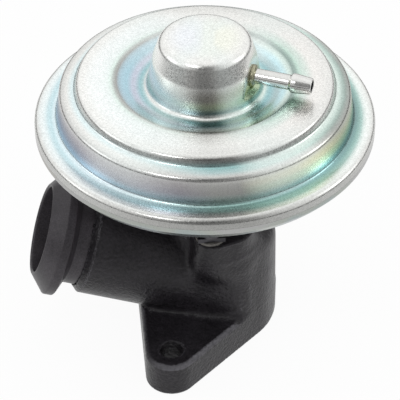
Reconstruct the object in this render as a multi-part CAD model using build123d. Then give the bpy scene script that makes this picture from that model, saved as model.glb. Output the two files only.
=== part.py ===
"""Vacuum-lift exhaust gas recirculation valve, modelled piece by piece in millimetres.

Frame: the origin is the centre of the outlet on the flange's machined underside, +Z runs up the
valve's axis, and the two flange bolts stand along Y. A cast body carries a pressed-in seat and a
stem guide. A standoff bracket carries the vacuum capsule, two pressed shells that clamp a rubber
diaphragm. Vacuum at the nipple lifts the diaphragm, its stem and the poppet against the spring.
"""
import math
import os

from build123d import *

os.makedirs("parts", exist_ok=True)

# ---------------------------------------------------------------- fits and clearances
press_clearance = 0.01  # radial, between a pressed-in piece and its bore
stem_clearance = 0.05  # radial, between the stem and its guide
seal_clearance = 0.15  # radial, between the stem and its graphite seal
seat_clearance = 0.05  # between the poppet's cone and the seat's cone when shut
stack_clearance = 0.02  # between pieces stacked on the stem
thread_clearance = 0.02  # radial, between a thread's solid and its hole
hole_clearance = 0.2  # radial, between a screw and the sheet it goes through
cover_clearance = 0.05  # between the cover's skirt and the lower shell's rim
spring_clearance = 0.05  # between the spring's ground ends and their seats
stop_clearance = 0.10  # left between the stem's collar and the guide at full lift
bead_clearance = 0.5  # from the diaphragm's edge to the inside of the cover's skirt
wall_clearance = 0.3  # from the diaphragm's wall to the cup inside it

# ---------------------------------------------------------------- limits of a pressed sheet's bends
fullest_run = 0.96  # the most of a straight run that its two bends may use up
sharpest_bend = 0.05

# ---------------------------------------------------------------- cast body
flange_thickness = 11.2
bolt_spacing = 64.0
bolt_hole_radius = 3.4
lobe_radius = 7.8
flange_edge_fillet = 1.0
flange_middle_radius = 21.6
body_top = 43.0
column_radius = 13.2
column_offset = 8.2  # of the column's own axis from the valve's, away from the inlet
column_height = 37.0
column_shoulder = 6.0
column_fillet = 2.5
neck_wall = 2.5
top_plate_width = 5.4  # of the round top beyond the seal's pocket
top_plate_thickness = 3.5
top_room = 0.4  # round the bracket's feet, cleared down to the casting's top
chamber_gap = 1.3  # radial, round the poppet's rim
chamber_floor_over_seat = 1.5
chamber_height = 12.5  # of its straight side, over its floor
chamber_roof_rise = 7.0

boss_count = 3
boss_radius = 4.8
boss_circle_radius = 16.0
boss_angle = -66.0
boss_length = 17.0
screw_hole_depth = 9.0

# ---------------------------------------------------------------- side inlet
inlet_angle = 201.0
inlet_tilt = 17.5
inlet_axis_height = 19.0
inlet_reach = 51.7  # from the valve's axis to the adapter's mouth, along the inlet's axis
inlet_tube_wall = 2.1  # round the adapter's spigot
inlet_tube_chamfer = 1.8
mouth_to_casting = 12.8  # from the adapter's mouth back to the casting's end face
passage_step = 0.5  # radial, from the adapter's bore in to the cast passage
passage_start = 3.0

adapter_bore_radius = 13.0
adapter_mouth_lip = 0.7
adapter_neck_wall = 1.4
adapter_flange_rise = 4.6
adapter_front_cone = 4.4
adapter_land = 2.5
adapter_rear_cone = 2.2
adapter_spigot_depth = 11.5

# ---------------------------------------------------------------- seat, poppet and stem
seat_bore_radius = 9.2
seat_wall = 2.4
seat_height = 9.0
seat_cone_width = 1.0
seat_shoulder = 0.5
poppet_overhang = 0.4  # of the poppet's rim past the seat's cone
poppet_rim_thickness = 1.2
poppet_crown_height = 3.0
poppet_hub_width = 2.1
poppet_hub_height = 2.0
poppet_hub_foot = 1.5
poppet_hub_slope = 0.6
stem_radius = 3.5
tenon_shoulder = 0.9
tenon_flare = 0.8
stem_collar_width = 1.5
stem_collar_thickness = 1.8
thread_shoulder = 0.5
thread_chamfer = 0.5
stem_thread_length = 11.5
valve_lift = 6.0

guide_wall = 2.5
guide_length = 10.7  # below its flange
guide_sunk = 0.3  # from the casting's boss up to the guide's lower end
guide_boss_wall = 2.4
guide_flange_width = 2.4
guide_flange_thickness = 1.4
seal_pocket_margin = 0.6
seal_pocket_depth = 5.0
seal_thickness = 2.4
retainer_thickness = 0.8
retainer_gap = 0.8  # radial, round the stem
chamber_roof_flat = 1.5

# ---------------------------------------------------------------- standoff bracket
gasket_thickness = 0.8
gasket_margin = 1.0  # from the seal's pocket out to the gasket's hole
gasket_inset = 0.4  # from the boss's edge in to the gasket's
bracket_sheet = 1.5
bracket_height = 13.5
wall_to_screw = 2.8  # from the bracket's wall out to the screws' circle
base_ledge = 1.2
foot_overhang = 3.6
foot_width = 8.0
foot_root = 2.0
window_width = 9.2
window_height = 8.4
screw_radius = 2.0
screw_head_radius = 3.6
screw_head_height = 2.6
screw_socket_width = 3.0
screw_socket_depth = 1.4
screw_length = 9.5
washer_width = 1.7
washer_thickness = 0.9
rivet_radius = 2.0
rivet_head_width = 1.4
rivet_head_height = 1.4
wall_to_rivet = 4.4
flange_past_rivet = 4.4

# ---------------------------------------------------------------- lower shell
rim_radius = 49.1
lower_sheet = 1.2
lower_depth = 16.8  # from the floor's underside to the seam
lower_floor_margin = 2.5
lower_floor_bend = 5.0
lower_shoulder_inset = 2.9
lower_shoulder_drop = 5.0
lower_shoulder_bend = 2.5
lower_edge_drop = 1.5
lower_edge_bend = 1.4
lower_hole_radius = 9.0
ring_width = 5.7
ring_rise = 1.0
ring_drop = 1.1
vent_count = 6
vent_radius = 2.4
vent_from_floor = 6.5

# ---------------------------------------------------------------- upper cover
cover_sheet = 1.0
rim_height = 3.1  # from the seam to the rim's top
rim_bend = 1.6
rim_land = 4.3
rim_land_bend = 6.0
groove_width = 2.0
groove_rise = 0.3
groove_bend = 1.0
wall_height = 8.3
wall_run = 1.2
ledge_bend = 1.5
ledge_width = 4.2
ledge_rise = 0.7
ledge_inner_bend = 0.8
step_height = 2.6
step_run = 1.0
plateau_bend = 1.4
valley_depth = 2.1
valley_run = 5.4
plateau_inner_bend = 3.0
valley_width = 3.6
valley_bend = 4.0
dome_foot_radius = 16.6
dome_foot_bend = 1.5
dome_height = 16.0  # from the valley to the dome's top
dome_waist_drop = 6.5
dome_waist_inset = 1.4
dome_waist_bend = 9.0
dome_top_inset = 3.4
dome_top_bend = 2.8
pad_inset = 2.6  # from the dome's foot in to the flat that carries the nipple
pad_foot = 2.2  # from the valley up to the flat's lower end
pad_foot_bend = 0.8

# ---------------------------------------------------------------- diaphragm and what it carries
diaphragm_sheet = 1.0
diaphragm_hole_gap = 0.2
plate_gap = 5.5  # from the lower shell's floor up to the lower plate
plate_sheet = 1.0
plate_radius = 27.0
plate_lip = 1.8
plate_bend = 0.4
roll_width = 10.4  # from the cup's side out to the clamped ring
cup_lip_height = 5.5
cup_bend = 1.6
roll_crest_drop = 1.3
roll_crest_width = 0.9
roll_dip_drop = 4.1
roll_dip_inset = 3.2
roll_outer_inset = 1.6
roll_bend = 1.3
locator_sheet = 1.0
locator_margin = 1.7
locator_gap = 0.3
locator_bend = 0.3
locator_collar_height = 4.0
nut_washer_width = 3.2
nut_washer_thickness = 1.0
nut_width = 10.0
nut_height = 5.0

# ---------------------------------------------------------------- return spring
spring_wire_radius = 1.1
spring_to_dome = 1.3
spring_turns = 6.5
spring_seat_sheet = 1.0
spring_seat_margin = 0.3
spring_seat_gap = 0.4
spring_seat_collar_height = 3.0
spring_seat_flange = 2.0  # of the floor inside the collar's outer face

# ---------------------------------------------------------------- vacuum nipple
nipple_drop = 9.8  # from the dome's top to the nipple's axis
nipple_bore_radius = 1.1
nipple_wall = 0.62
nipple_length = 17.5
nipple_sunk = 2.2  # how far the tube goes in past the pad
barb_rise = 0.78
barb_land = 1.2
barb_length = 5.7
barb_taper = 0.6
barb_back = 0.8
collar_width = 1.38
collar_length = 1.3
collar_chamfer = 0.6

# ---------------------------------------------------------------- radii that follow from these
adapter_neck_radius = adapter_bore_radius + adapter_neck_wall
adapter_flange_radius = adapter_neck_radius + adapter_flange_rise
inlet_tube_radius = adapter_neck_radius + inlet_tube_wall
inlet_passage_radius = adapter_bore_radius - passage_step
seat_outer_radius = seat_bore_radius + seat_wall
seat_shoulder_radius = seat_outer_radius - seat_shoulder
seat_cone_top = seat_bore_radius + seat_cone_width
poppet_radius = seat_cone_top + poppet_overhang
chamber_radius = poppet_radius + chamber_gap
poppet_hub_radius = stem_radius + poppet_hub_width
tenon_radius = stem_radius - tenon_shoulder
stem_collar_radius = stem_radius + stem_collar_width
thread_radius = stem_radius - thread_shoulder
thread_hole = thread_radius + thread_clearance
guide_radius = stem_radius + guide_wall
guide_boss_radius = guide_radius + guide_boss_wall
guide_flange_radius = guide_radius + guide_flange_width
seal_pocket_radius = guide_flange_radius + seal_pocket_margin
neck_radius = seal_pocket_radius + neck_wall
top_plate_radius = seal_pocket_radius + top_plate_width
gasket_hole_radius = seal_pocket_radius + gasket_margin
bracket_wall_radius = boss_circle_radius - wall_to_screw
bracket_base_radius = bracket_wall_radius + base_ledge
foot_reach = boss_circle_radius + foot_overhang
washer_radius = screw_radius + hole_clearance + washer_width
rivet_circle_radius = bracket_wall_radius + wall_to_rivet
rivet_head_radius = rivet_radius + rivet_head_width
bracket_flange_radius = rivet_circle_radius + flange_past_rivet
lower_floor_radius = bracket_flange_radius + lower_floor_margin
vent_circle_radius = lower_floor_radius + vent_from_floor
ring_inner_radius = rim_radius - ring_width
groove_radius = rim_radius - rim_land - groove_width
ledge_outer_radius = groove_radius - wall_run
ledge_inner_radius = ledge_outer_radius - ledge_width
plateau_outer_radius = ledge_inner_radius - step_run
valley_radius = dome_foot_radius + valley_width
plateau_inner_radius = valley_radius + valley_run
dome_waist_radius = dome_foot_radius - dome_waist_inset
dome_top_radius = dome_foot_radius - dome_top_inset
pad_distance = dome_foot_radius - pad_inset
cup_radius = ring_inner_radius - roll_width
nipple_radius = nipple_bore_radius + nipple_wall
nipple_reach = pad_distance + nipple_length
barb_radius = nipple_radius + barb_rise
barb_start = nipple_reach - barb_length
collar_radius = nipple_radius + collar_width
spring_outer_radius = dome_top_radius - cover_sheet - spring_to_dome
spring_mean_radius = spring_outer_radius - spring_wire_radius
spring_inner_radius = spring_mean_radius - spring_wire_radius
spring_seat_radius = spring_outer_radius + spring_seat_margin
spring_seat_collar_radius = spring_inner_radius - spring_seat_gap
locator_radius = spring_outer_radius + locator_margin
locator_collar_radius = spring_inner_radius - locator_gap

# ---------------------------------------------------------------- heights that follow from these
boss_bottom = body_top - boss_length
chamber_floor = seat_height + chamber_floor_over_seat
chamber_side_top = chamber_floor + chamber_height
chamber_roof = chamber_side_top + chamber_roof_rise
pocket_floor = body_top - seal_pocket_depth
guide_bottom = pocket_floor - guide_length
guide_boss_bottom = guide_bottom - guide_sunk
gasket_top = body_top + gasket_thickness
foot_top = gasket_top + bracket_sheet
bracket_top = gasket_top + bracket_height
lower_floor_top = bracket_top + lower_sheet
seam_height = bracket_top + lower_depth
ring_top = seam_height + ring_rise
ring_bottom = seam_height - ring_drop
rim_top = seam_height + rim_height
groove_height = rim_top + groove_rise
ledge_outer_height = groove_height + wall_height
ledge_inner_height = ledge_outer_height + ledge_rise
plateau_height = ledge_inner_height + step_height
valley_height = plateau_height - valley_depth
dome_top = valley_height + dome_height
dome_ceiling = dome_top - cover_sheet
nipple_height = dome_top - nipple_drop
poppet_bottom = seat_height - seat_cone_width + seat_clearance * math.sqrt(2)
poppet_rim_bottom = poppet_bottom + seat_cone_width + poppet_overhang
poppet_rim_top = poppet_rim_bottom + poppet_rim_thickness
poppet_top = poppet_rim_top + poppet_crown_height
collar_top = guide_bottom - valve_lift - stop_clearance
plate_bottom = lower_floor_top + plate_gap
web_bottom = plate_bottom + plate_sheet + stack_clearance
cup_bottom = web_bottom + diaphragm_sheet + stack_clearance
cup_floor = cup_bottom + plate_sheet
locator_bottom = cup_floor + stack_clearance
locator_floor = locator_bottom + locator_sheet
nut_washer_bottom = locator_floor + stack_clearance
nut_bottom = nut_washer_bottom + nut_washer_thickness + stack_clearance
spring_bottom = locator_floor + spring_clearance
spring_top = dome_ceiling - spring_seat_sheet - spring_clearance
tube_end = inlet_reach - mouth_to_casting
spigot_end = tube_end - adapter_spigot_depth


def revolved(profile):
    """Solid of revolution about Z from a face drawn as (radius, height)."""
    return revolve(Plane.XZ * profile, Axis.Z)


def turned(*points):
    """Solid of revolution about Z from the corners of its outline."""
    return revolved(make_face(Polyline(*points, close=True)))


def ring(outer, inner, low, high):
    """Plain ring about Z between two heights."""
    return turned((inner, low), (outer, low), (outer, high), (inner, high))


def bar(radius, low, high):
    """Plain round bar about Z between two heights."""
    return Pos(0, 0, low) * extrude(Circle(radius), high - low)


def round_pattern(count, radius, first_angle):
    """Places on a circle about Z, each turned to face outwards."""
    return [
        Rot(0, 0, first_angle + 360.0 * index / count) * Pos(radius, 0, 0) for index in range(count)
    ]


def fitted(corners):
    """Corners (radius, height, bend) with the bends made smaller where two would meet on a run."""
    turns = [0.0] * len(corners)
    for index in range(1, len(corners) - 1):
        before, here, after = corners[index - 1 : index + 2]
        into = math.atan2(here[1] - before[1], here[0] - before[0])
        out = math.atan2(after[1] - here[1], after[0] - here[0])
        turns[index] = math.tan(abs(math.remainder(out - into, math.tau)) / 2)
    shares = [1.0] * len(corners)
    for index, (start, end) in enumerate(zip(corners, corners[1:])):
        asked = start[2] * turns[index] + end[2] * turns[index + 1]
        run = math.dist(start[:2], end[:2])
        share = fullest_run * run / asked if asked > fullest_run * run else 1.0
        shares[index] = min(shares[index], share)
        shares[index + 1] = min(shares[index + 1], share)
    return [(r, z, bend * share) for (r, z, bend), share in zip(corners, shares)]


def parallel_corners(corners, thickness):
    """Corners of the parallel line on the right-hand side, with their bend radii.

    Each corner is (radius, height, bend). A bend towards the parallel line loses the thickness
    from its radius, and a bend away from it gains the thickness.
    """
    headings = []
    for start, end in zip(corners, corners[1:]):
        length = math.dist(start[:2], end[:2])
        headings.append(((end[0] - start[0]) / length, (end[1] - start[1]) / length))
    result = []
    for index, (r, z, bend) in enumerate(corners):
        into = headings[max(index - 1, 0)]
        out = headings[min(index, len(headings) - 1)]
        share = 1.0 + into[0] * out[0] + into[1] * out[1]
        shift_r = thickness * (into[1] + out[1]) / share
        shift_z = -thickness * (into[0] + out[0]) / share
        turns_right = into[0] * out[1] - into[1] * out[0] < 0
        parallel_bend = bend - thickness if turns_right else bend + thickness
        result.append((r + shift_r, z + shift_z, max(parallel_bend, sharpest_bend)))
    return result


def bent_line(corners):
    """Line through the corners, each inner one rounded to its bend radius."""
    points = [(r, z) for r, z, bend in corners]
    return FilletPolyline(*points, radius=[bend for r, z, bend in corners[1:-1]])


def closed_face(first, second):
    """Face between two lines that run side by side, closed by a straight edge at each end."""
    edges = [*first.edges(), *second.edges(), Line(first @ 0, second @ 0), Line(first @ 1, second @ 1)]
    return make_face(edges)


def pressed(corners, thickness):
    """Shell of revolution pressed from one sheet, given the line of its left-hand surface."""
    corners = fitted(corners)
    return revolved(closed_face(bent_line(corners), bent_line(parallel_corners(corners, thickness))))


# ---------------------------------------------------------------- body casting and its inserts
inlet_plane = (
    Pos(0, 0, inlet_axis_height) * Rot(0, 0, inlet_angle) * Rot(0, 90.0 - inlet_tilt, 0)
)


def flange_outline():
    """Flange's outline: a round centre drawn out by straight tangents to a lobe at each bolt."""
    circles = [*Circle(flange_middle_radius).edges()]
    for side in (-1, 1):
        circles += (Pos(0, side * bolt_spacing / 2) * Circle(lobe_radius)).edges()
    return make_hull(circles)


def flange_plate():
    """Two-bolt flange with a softened upper edge, and the cove that blends it into the column."""
    plate = extrude(flange_outline(), flange_thickness)
    plate = fillet(plate.edges().group_by(Axis.Z)[-1], flange_edge_fillet)
    cove_outer = column_radius + column_fillet
    cove_top = flange_thickness + column_fillet
    cove_line = [
        Line((0, flange_thickness - 1), (cove_outer, flange_thickness - 1)),
        Line((cove_outer, flange_thickness - 1), (cove_outer, flange_thickness)),
        RadiusArc((cove_outer, flange_thickness), (column_radius, cove_top), column_fillet),
        Line((column_radius, cove_top), (0, cove_top)),
        Line((0, cove_top), (0, flange_thickness - 1)),
    ]
    cove = Pos(column_offset, 0, 0) * revolved(make_face([edge for line in cove_line for edge in line.edges()]))
    inset_outline = offset(flange_outline(), -flange_edge_fillet)
    return plate + (cove & extrude(inset_outline, cove_top))


def column():
    """Round column beside the valve's axis, with a round shoulder, kept within the flange's middle."""
    shoulder = column_height - column_shoulder
    line = [
        Line((0, 0), (column_radius, 0)),
        Line((column_radius, 0), (column_radius, shoulder)),
        RadiusArc((column_radius, shoulder), (column_radius - column_shoulder, column_height), -column_shoulder),
        Line((column_radius - column_shoulder, column_height), (0, column_height)),
        Line((0, column_height), (0, 0)),
    ]
    round_column = revolved(make_face([edge for part in line for edge in part.edges()]))
    return Pos(column_offset, 0, 0) * round_column & bar(flange_middle_radius, 0, column_height)


def inlet_elbow():
    """Side tube with a chamfered end, and the ball that closes it over the valve's seat."""
    chamfer_middle = tube_end - inlet_tube_chamfer / 2
    tube = bar(inlet_tube_radius, 0, tube_end - inlet_tube_chamfer) + Pos(0, 0, chamfer_middle) * Cone(
        inlet_tube_radius, inlet_tube_radius - inlet_tube_chamfer, inlet_tube_chamfer
    )
    return inlet_plane * (tube + Sphere(inlet_tube_radius))


def make_valve_body():
    """Casting: flange, column, side tube, neck and screw bosses, with its chamber and bores."""
    casting = flange_plate() + column() + inlet_elbow()
    casting += bar(neck_radius, inlet_axis_height, body_top)
    casting += bar(top_plate_radius, body_top - top_plate_thickness, body_top)
    for place in round_pattern(boss_count, boss_circle_radius, boss_angle):
        casting += place * bar(boss_radius, boss_bottom, body_top)
    casting -= bar(foot_reach + top_room, body_top, bracket_top)
    casting -= bar(seat_outer_radius + press_clearance, -1, seat_height)
    casting -= bar(seat_shoulder_radius, 0, chamber_floor + 1)
    chamber = turned(
        (0, chamber_floor),
        (seat_shoulder_radius, chamber_floor),
        (chamber_radius, chamber_floor + chamber_radius - seat_shoulder_radius),
        (chamber_radius, chamber_side_top),
        (guide_boss_radius + chamber_roof_flat, chamber_roof),
        (guide_boss_radius, chamber_roof),
        (guide_boss_radius, guide_boss_bottom),
        (0, guide_boss_bottom),
    )
    casting -= chamber
    casting -= inlet_plane * bar(inlet_passage_radius, passage_start, inlet_reach) - bar(
        guide_boss_radius, guide_boss_bottom, body_top
    )
    casting -= inlet_plane * bar(adapter_neck_radius + press_clearance, spigot_end, inlet_reach)
    casting -= bar(guide_radius + press_clearance, guide_boss_bottom - 1, body_top)
    casting -= bar(seal_pocket_radius, pocket_floor, body_top + 1)
    for place in round_pattern(boss_count, boss_circle_radius, boss_angle):
        casting -= place * bar(screw_radius + thread_clearance, body_top - screw_hole_depth, body_top + 1)
    for side in (-1, 1):
        casting -= Pos(0, side * bolt_spacing / 2, 0) * bar(bolt_hole_radius, -1, flange_thickness + 1)
    return casting


def make_inlet_adapter():
    """Turned clamp flange: two cones and a land, a thin neck and a spigot pressed into the tube."""
    land_start = inlet_reach - adapter_front_cone
    land_end = land_start - adapter_land
    neck_start = land_end - adapter_rear_cone
    return inlet_plane * turned(
        (adapter_bore_radius, inlet_reach),
        (adapter_bore_radius + adapter_mouth_lip, inlet_reach),
        (adapter_flange_radius, land_start),
        (adapter_flange_radius, land_end),
        (adapter_neck_radius, neck_start),
        (adapter_neck_radius, spigot_end + press_clearance),
        (adapter_bore_radius, spigot_end + press_clearance),
    )


def make_valve_seat():
    """Seat ring pressed in from below, with a conical contact face at its top."""
    return turned(
        (seat_bore_radius, 0),
        (seat_outer_radius, 0),
        (seat_outer_radius, seat_height - press_clearance),
        (seat_cone_top, seat_height - press_clearance),
        (seat_bore_radius, seat_height - seat_cone_width - press_clearance),
    )


def make_stem_guide():
    """Flanged guide bush pressed into the casting's neck from above."""
    return turned(
        (stem_radius + stem_clearance, guide_bottom),
        (guide_radius, guide_bottom),
        (guide_radius, pocket_floor),
        (guide_flange_radius, pocket_floor),
        (guide_flange_radius, pocket_floor + guide_flange_thickness),
        (stem_radius + stem_clearance, pocket_floor + guide_flange_thickness),
    )


def make_stem_seal():
    """Packed graphite ring that keeps exhaust from creeping up the stem."""
    seal_bottom = pocket_floor + guide_flange_thickness
    inner = stem_radius + seal_clearance
    return ring(guide_flange_radius, inner, seal_bottom, seal_bottom + seal_thickness)


def make_seal_retainer():
    """Pressed disc that holds the seal in the casting's pocket."""
    retainer_bottom = pocket_floor + guide_flange_thickness + seal_thickness
    outer = seal_pocket_radius - press_clearance
    return ring(outer, stem_radius + retainer_gap, retainer_bottom, retainer_bottom + retainer_thickness)


# ---------------------------------------------------------------- poppet and stem
def make_valve_head():
    """Poppet: conical contact edge, thin rim and a crown that rises to the stem."""
    return turned(
        (tenon_radius + thread_clearance, poppet_bottom + tenon_flare),
        (tenon_radius + thread_clearance + tenon_flare, poppet_bottom),
        (seat_bore_radius, poppet_bottom),
        (poppet_radius, poppet_rim_bottom),
        (poppet_radius, poppet_rim_top),
        (poppet_hub_radius + poppet_hub_foot, poppet_rim_top + poppet_hub_slope),
        (poppet_hub_radius, poppet_top - poppet_hub_height),
        (poppet_hub_radius, poppet_top),
        (tenon_radius + thread_clearance, poppet_top),
    )


def make_valve_stem():
    """Stem: flared tenon, a collar that stops on the guide at full lift, shank and thread."""
    return turned(
        (0, poppet_bottom),
        (tenon_radius + tenon_flare, poppet_bottom),
        (tenon_radius, poppet_bottom + tenon_flare),
        (tenon_radius, poppet_top),
        (stem_radius, poppet_top),
        (stem_radius, collar_top - stem_collar_thickness),
        (stem_collar_radius, collar_top - stem_collar_thickness),
        (stem_collar_radius, collar_top),
        (stem_radius, collar_top),
        (stem_radius, plate_bottom),
        (thread_radius, plate_bottom),
        (thread_radius, plate_bottom + stem_thread_length - thread_chamfer),
        (thread_radius - thread_chamfer, plate_bottom + stem_thread_length),
        (0, plate_bottom + stem_thread_length),
    )


# ---------------------------------------------------------------- bracket and its fasteners
def make_bracket_gasket():
    """Insulating gasket between the casting's top and the bracket, with an ear at each screw."""
    sheet = Circle(bracket_base_radius)
    for place in round_pattern(boss_count, boss_circle_radius, boss_angle):
        sheet += place * Circle(boss_radius - gasket_inset)
    sheet -= Circle(gasket_hole_radius)
    for place in round_pattern(boss_count, boss_circle_radius, boss_angle):
        sheet -= place * Circle(screw_radius + hole_clearance)
    return Pos(0, 0, body_top) * extrude(sheet, gasket_thickness)


def make_standoff_bracket():
    """Pressed standoff: three feet, a cup wall with a window over each foot, and a top flange."""
    inner = bracket_wall_radius - bracket_sheet
    bracket = ring(bracket_wall_radius, inner, gasket_top, bracket_top)
    bracket += ring(bracket_base_radius, gasket_hole_radius, gasket_top, foot_top)
    bracket += ring(bracket_flange_radius, inner, bracket_top - bracket_sheet, bracket_top)
    foot_length = foot_reach - gasket_hole_radius - foot_root
    for place in round_pattern(boss_count, foot_reach - foot_length / 2, boss_angle):
        foot = place * Pos(0, 0, (gasket_top + foot_top) / 2) * Box(foot_length, foot_width, bracket_sheet)
        bracket += foot
    for place in round_pattern(boss_count, bracket_wall_radius, boss_angle):
        middle = foot_top + window_height / 2
        bracket -= place * Pos(0, 0, middle) * Box(4 * bracket_sheet, window_width, window_height)
    for place in round_pattern(boss_count, boss_circle_radius, boss_angle):
        bracket -= place * bar(screw_radius + hole_clearance, body_top, foot_top + 1)
    for place in round_pattern(boss_count, rivet_circle_radius, boss_angle + 180.0 / boss_count):
        bracket -= place * bar(rivet_radius, bracket_top - 2 * bracket_sheet, bracket_top + 1)
    return bracket


def make_lock_washers():
    """One washer under each bracket screw's head."""
    washer = ring(washer_radius, screw_radius + hole_clearance, foot_top, foot_top + washer_thickness)
    return [place * washer for place in round_pattern(boss_count, boss_circle_radius, boss_angle)]


def make_bracket_screws():
    """Socket-headed screws that hold the bracket's feet to the casting's bosses."""
    head_bottom = foot_top + washer_thickness
    head_top = head_bottom + screw_head_height
    screw = bar(screw_head_radius, head_bottom, head_top)
    screw += bar(screw_radius, head_top - screw_length, head_bottom)
    socket = extrude(RegularPolygon(screw_socket_width / 2, 6, major_radius=False), screw_socket_depth)
    screw -= Pos(0, 0, head_top - screw_socket_depth) * socket
    return [place * screw for place in round_pattern(boss_count, boss_circle_radius, boss_angle)]


def make_housing_rivets():
    """Rivets that join the bracket's top flange to the capsule's floor."""
    flange_bottom = bracket_top - bracket_sheet
    rivet = bar(rivet_radius - press_clearance, flange_bottom, lower_floor_top)
    rivet += bar(rivet_head_radius, flange_bottom - rivet_head_height, flange_bottom)
    rivet += bar(rivet_head_radius, lower_floor_top, lower_floor_top + rivet_head_height)
    places = round_pattern(boss_count, rivet_circle_radius, boss_angle + 180.0 / boss_count)
    return [place * rivet for place in places]


# ---------------------------------------------------------------- capsule shells
def make_lower_housing():
    """Lower shell: flat floor, sloping wall with vents, and a stepped rim that clamps the bead."""
    shell = pressed(
        [
            (rim_radius, seam_height, 0),
            (rim_radius, seam_height - lower_edge_drop, lower_edge_bend),
            (rim_radius - lower_shoulder_inset, seam_height - lower_shoulder_drop, lower_shoulder_bend),
            (lower_floor_radius, bracket_top, lower_floor_bend),
            (lower_hole_radius, bracket_top, 0),
        ],
        lower_sheet,
    )
    skirt_inner = rim_radius - cover_sheet - cover_clearance
    shell += turned(
        (ring_inner_radius, ring_bottom),
        (rim_radius, ring_bottom),
        (rim_radius, seam_height),
        (skirt_inner, seam_height),
        (skirt_inner, ring_top),
        (ring_inner_radius, ring_top),
    )
    for place in round_pattern(boss_count, rivet_circle_radius, boss_angle + 180.0 / boss_count):
        shell -= place * bar(rivet_radius, bracket_top - 1, lower_floor_top + 1)
    for place in round_pattern(vent_count, vent_circle_radius, boss_angle):
        shell -= place * bar(vent_radius, bracket_top, seam_height - lower_shoulder_drop)
    return shell


cover_corners = [
    (0, dome_top, 0),
    (dome_top_radius, dome_top, dome_top_bend),
    (dome_waist_radius, dome_top - dome_waist_drop, dome_waist_bend),
    (dome_foot_radius, valley_height, dome_foot_bend),
    (valley_radius, valley_height, valley_bend),
    (plateau_inner_radius, plateau_height, plateau_inner_bend),
    (plateau_outer_radius, plateau_height, plateau_bend),
    (ledge_inner_radius, ledge_inner_height, ledge_inner_bend),
    (ledge_outer_radius, ledge_outer_height, ledge_bend),
    (groove_radius, groove_height, groove_bend),
    (groove_radius + groove_width, rim_top, rim_land_bend),
    (rim_radius, rim_top, rim_bend),
    (rim_radius, (seam_height + rim_top - rim_bend) / 2, 0),
]
cover_corners = fitted(cover_corners)


def filled(corners, low):
    """Solid under a line of revolution, down to a height and in to the axis."""
    line = bent_line(corners)
    floor_outer = (corners[-1][0], low)
    closing = [Line(line @ 1, floor_outer), Line(floor_outer, (0, low)), Line((0, low), line @ 0)]
    return revolved(make_face([*line.edges(), *closing]))


def pad_cut(inset):
    """What the flat on the dome's side takes away, moved in by an inset for the sheet's inside."""
    face = pad_distance - inset
    foot = valley_height + pad_foot - inset
    top = dome_top + 1
    far = dome_foot_radius + 1
    line = FilletPolyline((face, top), (face, foot), (far, foot), radius=pad_foot_bend + inset)
    profile = make_face([*line.edges(), Line((far, foot), (far, top)), Line((far, top), (face, top))])
    return Pos(0, dome_foot_radius, 0) * extrude(Plane.XZ * profile, 2 * dome_foot_radius)


def make_upper_cover():
    """Upper shell, pressed in rings: dome with a flat for the nipple, valley, plateau, ledge, skirt."""
    low = seam_height + cover_clearance
    outside = filled(cover_corners, low) - pad_cut(0)
    inside = filled(parallel_corners(cover_corners, cover_sheet), low - 1) - pad_cut(cover_sheet)
    cover = outside - inside
    hole = bar(nipple_radius + press_clearance, 0, dome_foot_radius)
    return cover - Pos(0, 0, nipple_height) * Rot(0, 90, 0) * hole


def make_vacuum_nipple():
    """Nipple tube with one hose barb, brazed through the dome's flat."""
    barb_land_end = barb_start + barb_land
    tube = turned(
        (nipple_bore_radius, pad_distance - nipple_sunk),
        (nipple_radius, pad_distance - nipple_sunk),
        (nipple_radius, barb_start - barb_back),
        (barb_radius, barb_start),
        (barb_radius, barb_land_end),
        (barb_radius - barb_taper, nipple_reach),
        (nipple_bore_radius, nipple_reach),
    )
    return Pos(0, 0, nipple_height) * Rot(0, 90, 0) * tube


def make_nipple_collar():
    """Brazed collar round the nipple, seated on the dome's flat."""
    inner = nipple_radius + press_clearance
    collar = turned(
        (inner, pad_distance),
        (collar_radius, pad_distance),
        (collar_radius, pad_distance + collar_length - collar_chamfer),
        (collar_radius - collar_chamfer, pad_distance + collar_length),
        (inner, pad_distance + collar_length),
    )
    return Pos(0, 0, nipple_height) * Rot(0, 90, 0) * collar


# ---------------------------------------------------------------- diaphragm and what it carries
def make_diaphragm_plate():
    """Lower plate: a flat disc with a lip turned down, clear of the rubber."""
    return pressed(
        [
            (thread_hole, plate_bottom + plate_sheet, 0),
            (plate_radius, plate_bottom + plate_sheet, plate_sheet + plate_bend),
            (plate_radius, plate_bottom - plate_lip, 0),
        ],
        plate_sheet,
    )


def make_diaphragm():
    """Rubber diaphragm: flat web, a wall up the cup's side, one roll, and the clamped bead."""
    wall = cup_radius + wall_clearance
    bead = ring_top + stack_clearance
    roll_dip_radius = ring_inner_radius - roll_outer_inset - roll_dip_inset
    return pressed(
        [
            (rim_radius - cover_sheet - bead_clearance, bead + diaphragm_sheet, 0),
            (ring_inner_radius - roll_outer_inset, bead + diaphragm_sheet, roll_bend),
            (roll_dip_radius, ring_top - roll_dip_drop + diaphragm_sheet, roll_bend),
            (wall + roll_crest_width, ring_top - roll_crest_drop + diaphragm_sheet, roll_bend),
            (wall, web_bottom + diaphragm_sheet, cup_bend),
            (thread_radius + diaphragm_hole_gap, web_bottom + diaphragm_sheet, 0),
        ],
        -diaphragm_sheet,
    )


def make_diaphragm_cup():
    """Upper plate: a cup whose lip keeps the rubber's wall upright."""
    return pressed(
        [
            (cup_radius, cup_bottom + cup_lip_height, 0),
            (cup_radius, cup_bottom, cup_bend),
            (thread_hole, cup_bottom, 0),
        ],
        plate_sheet,
    )


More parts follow.
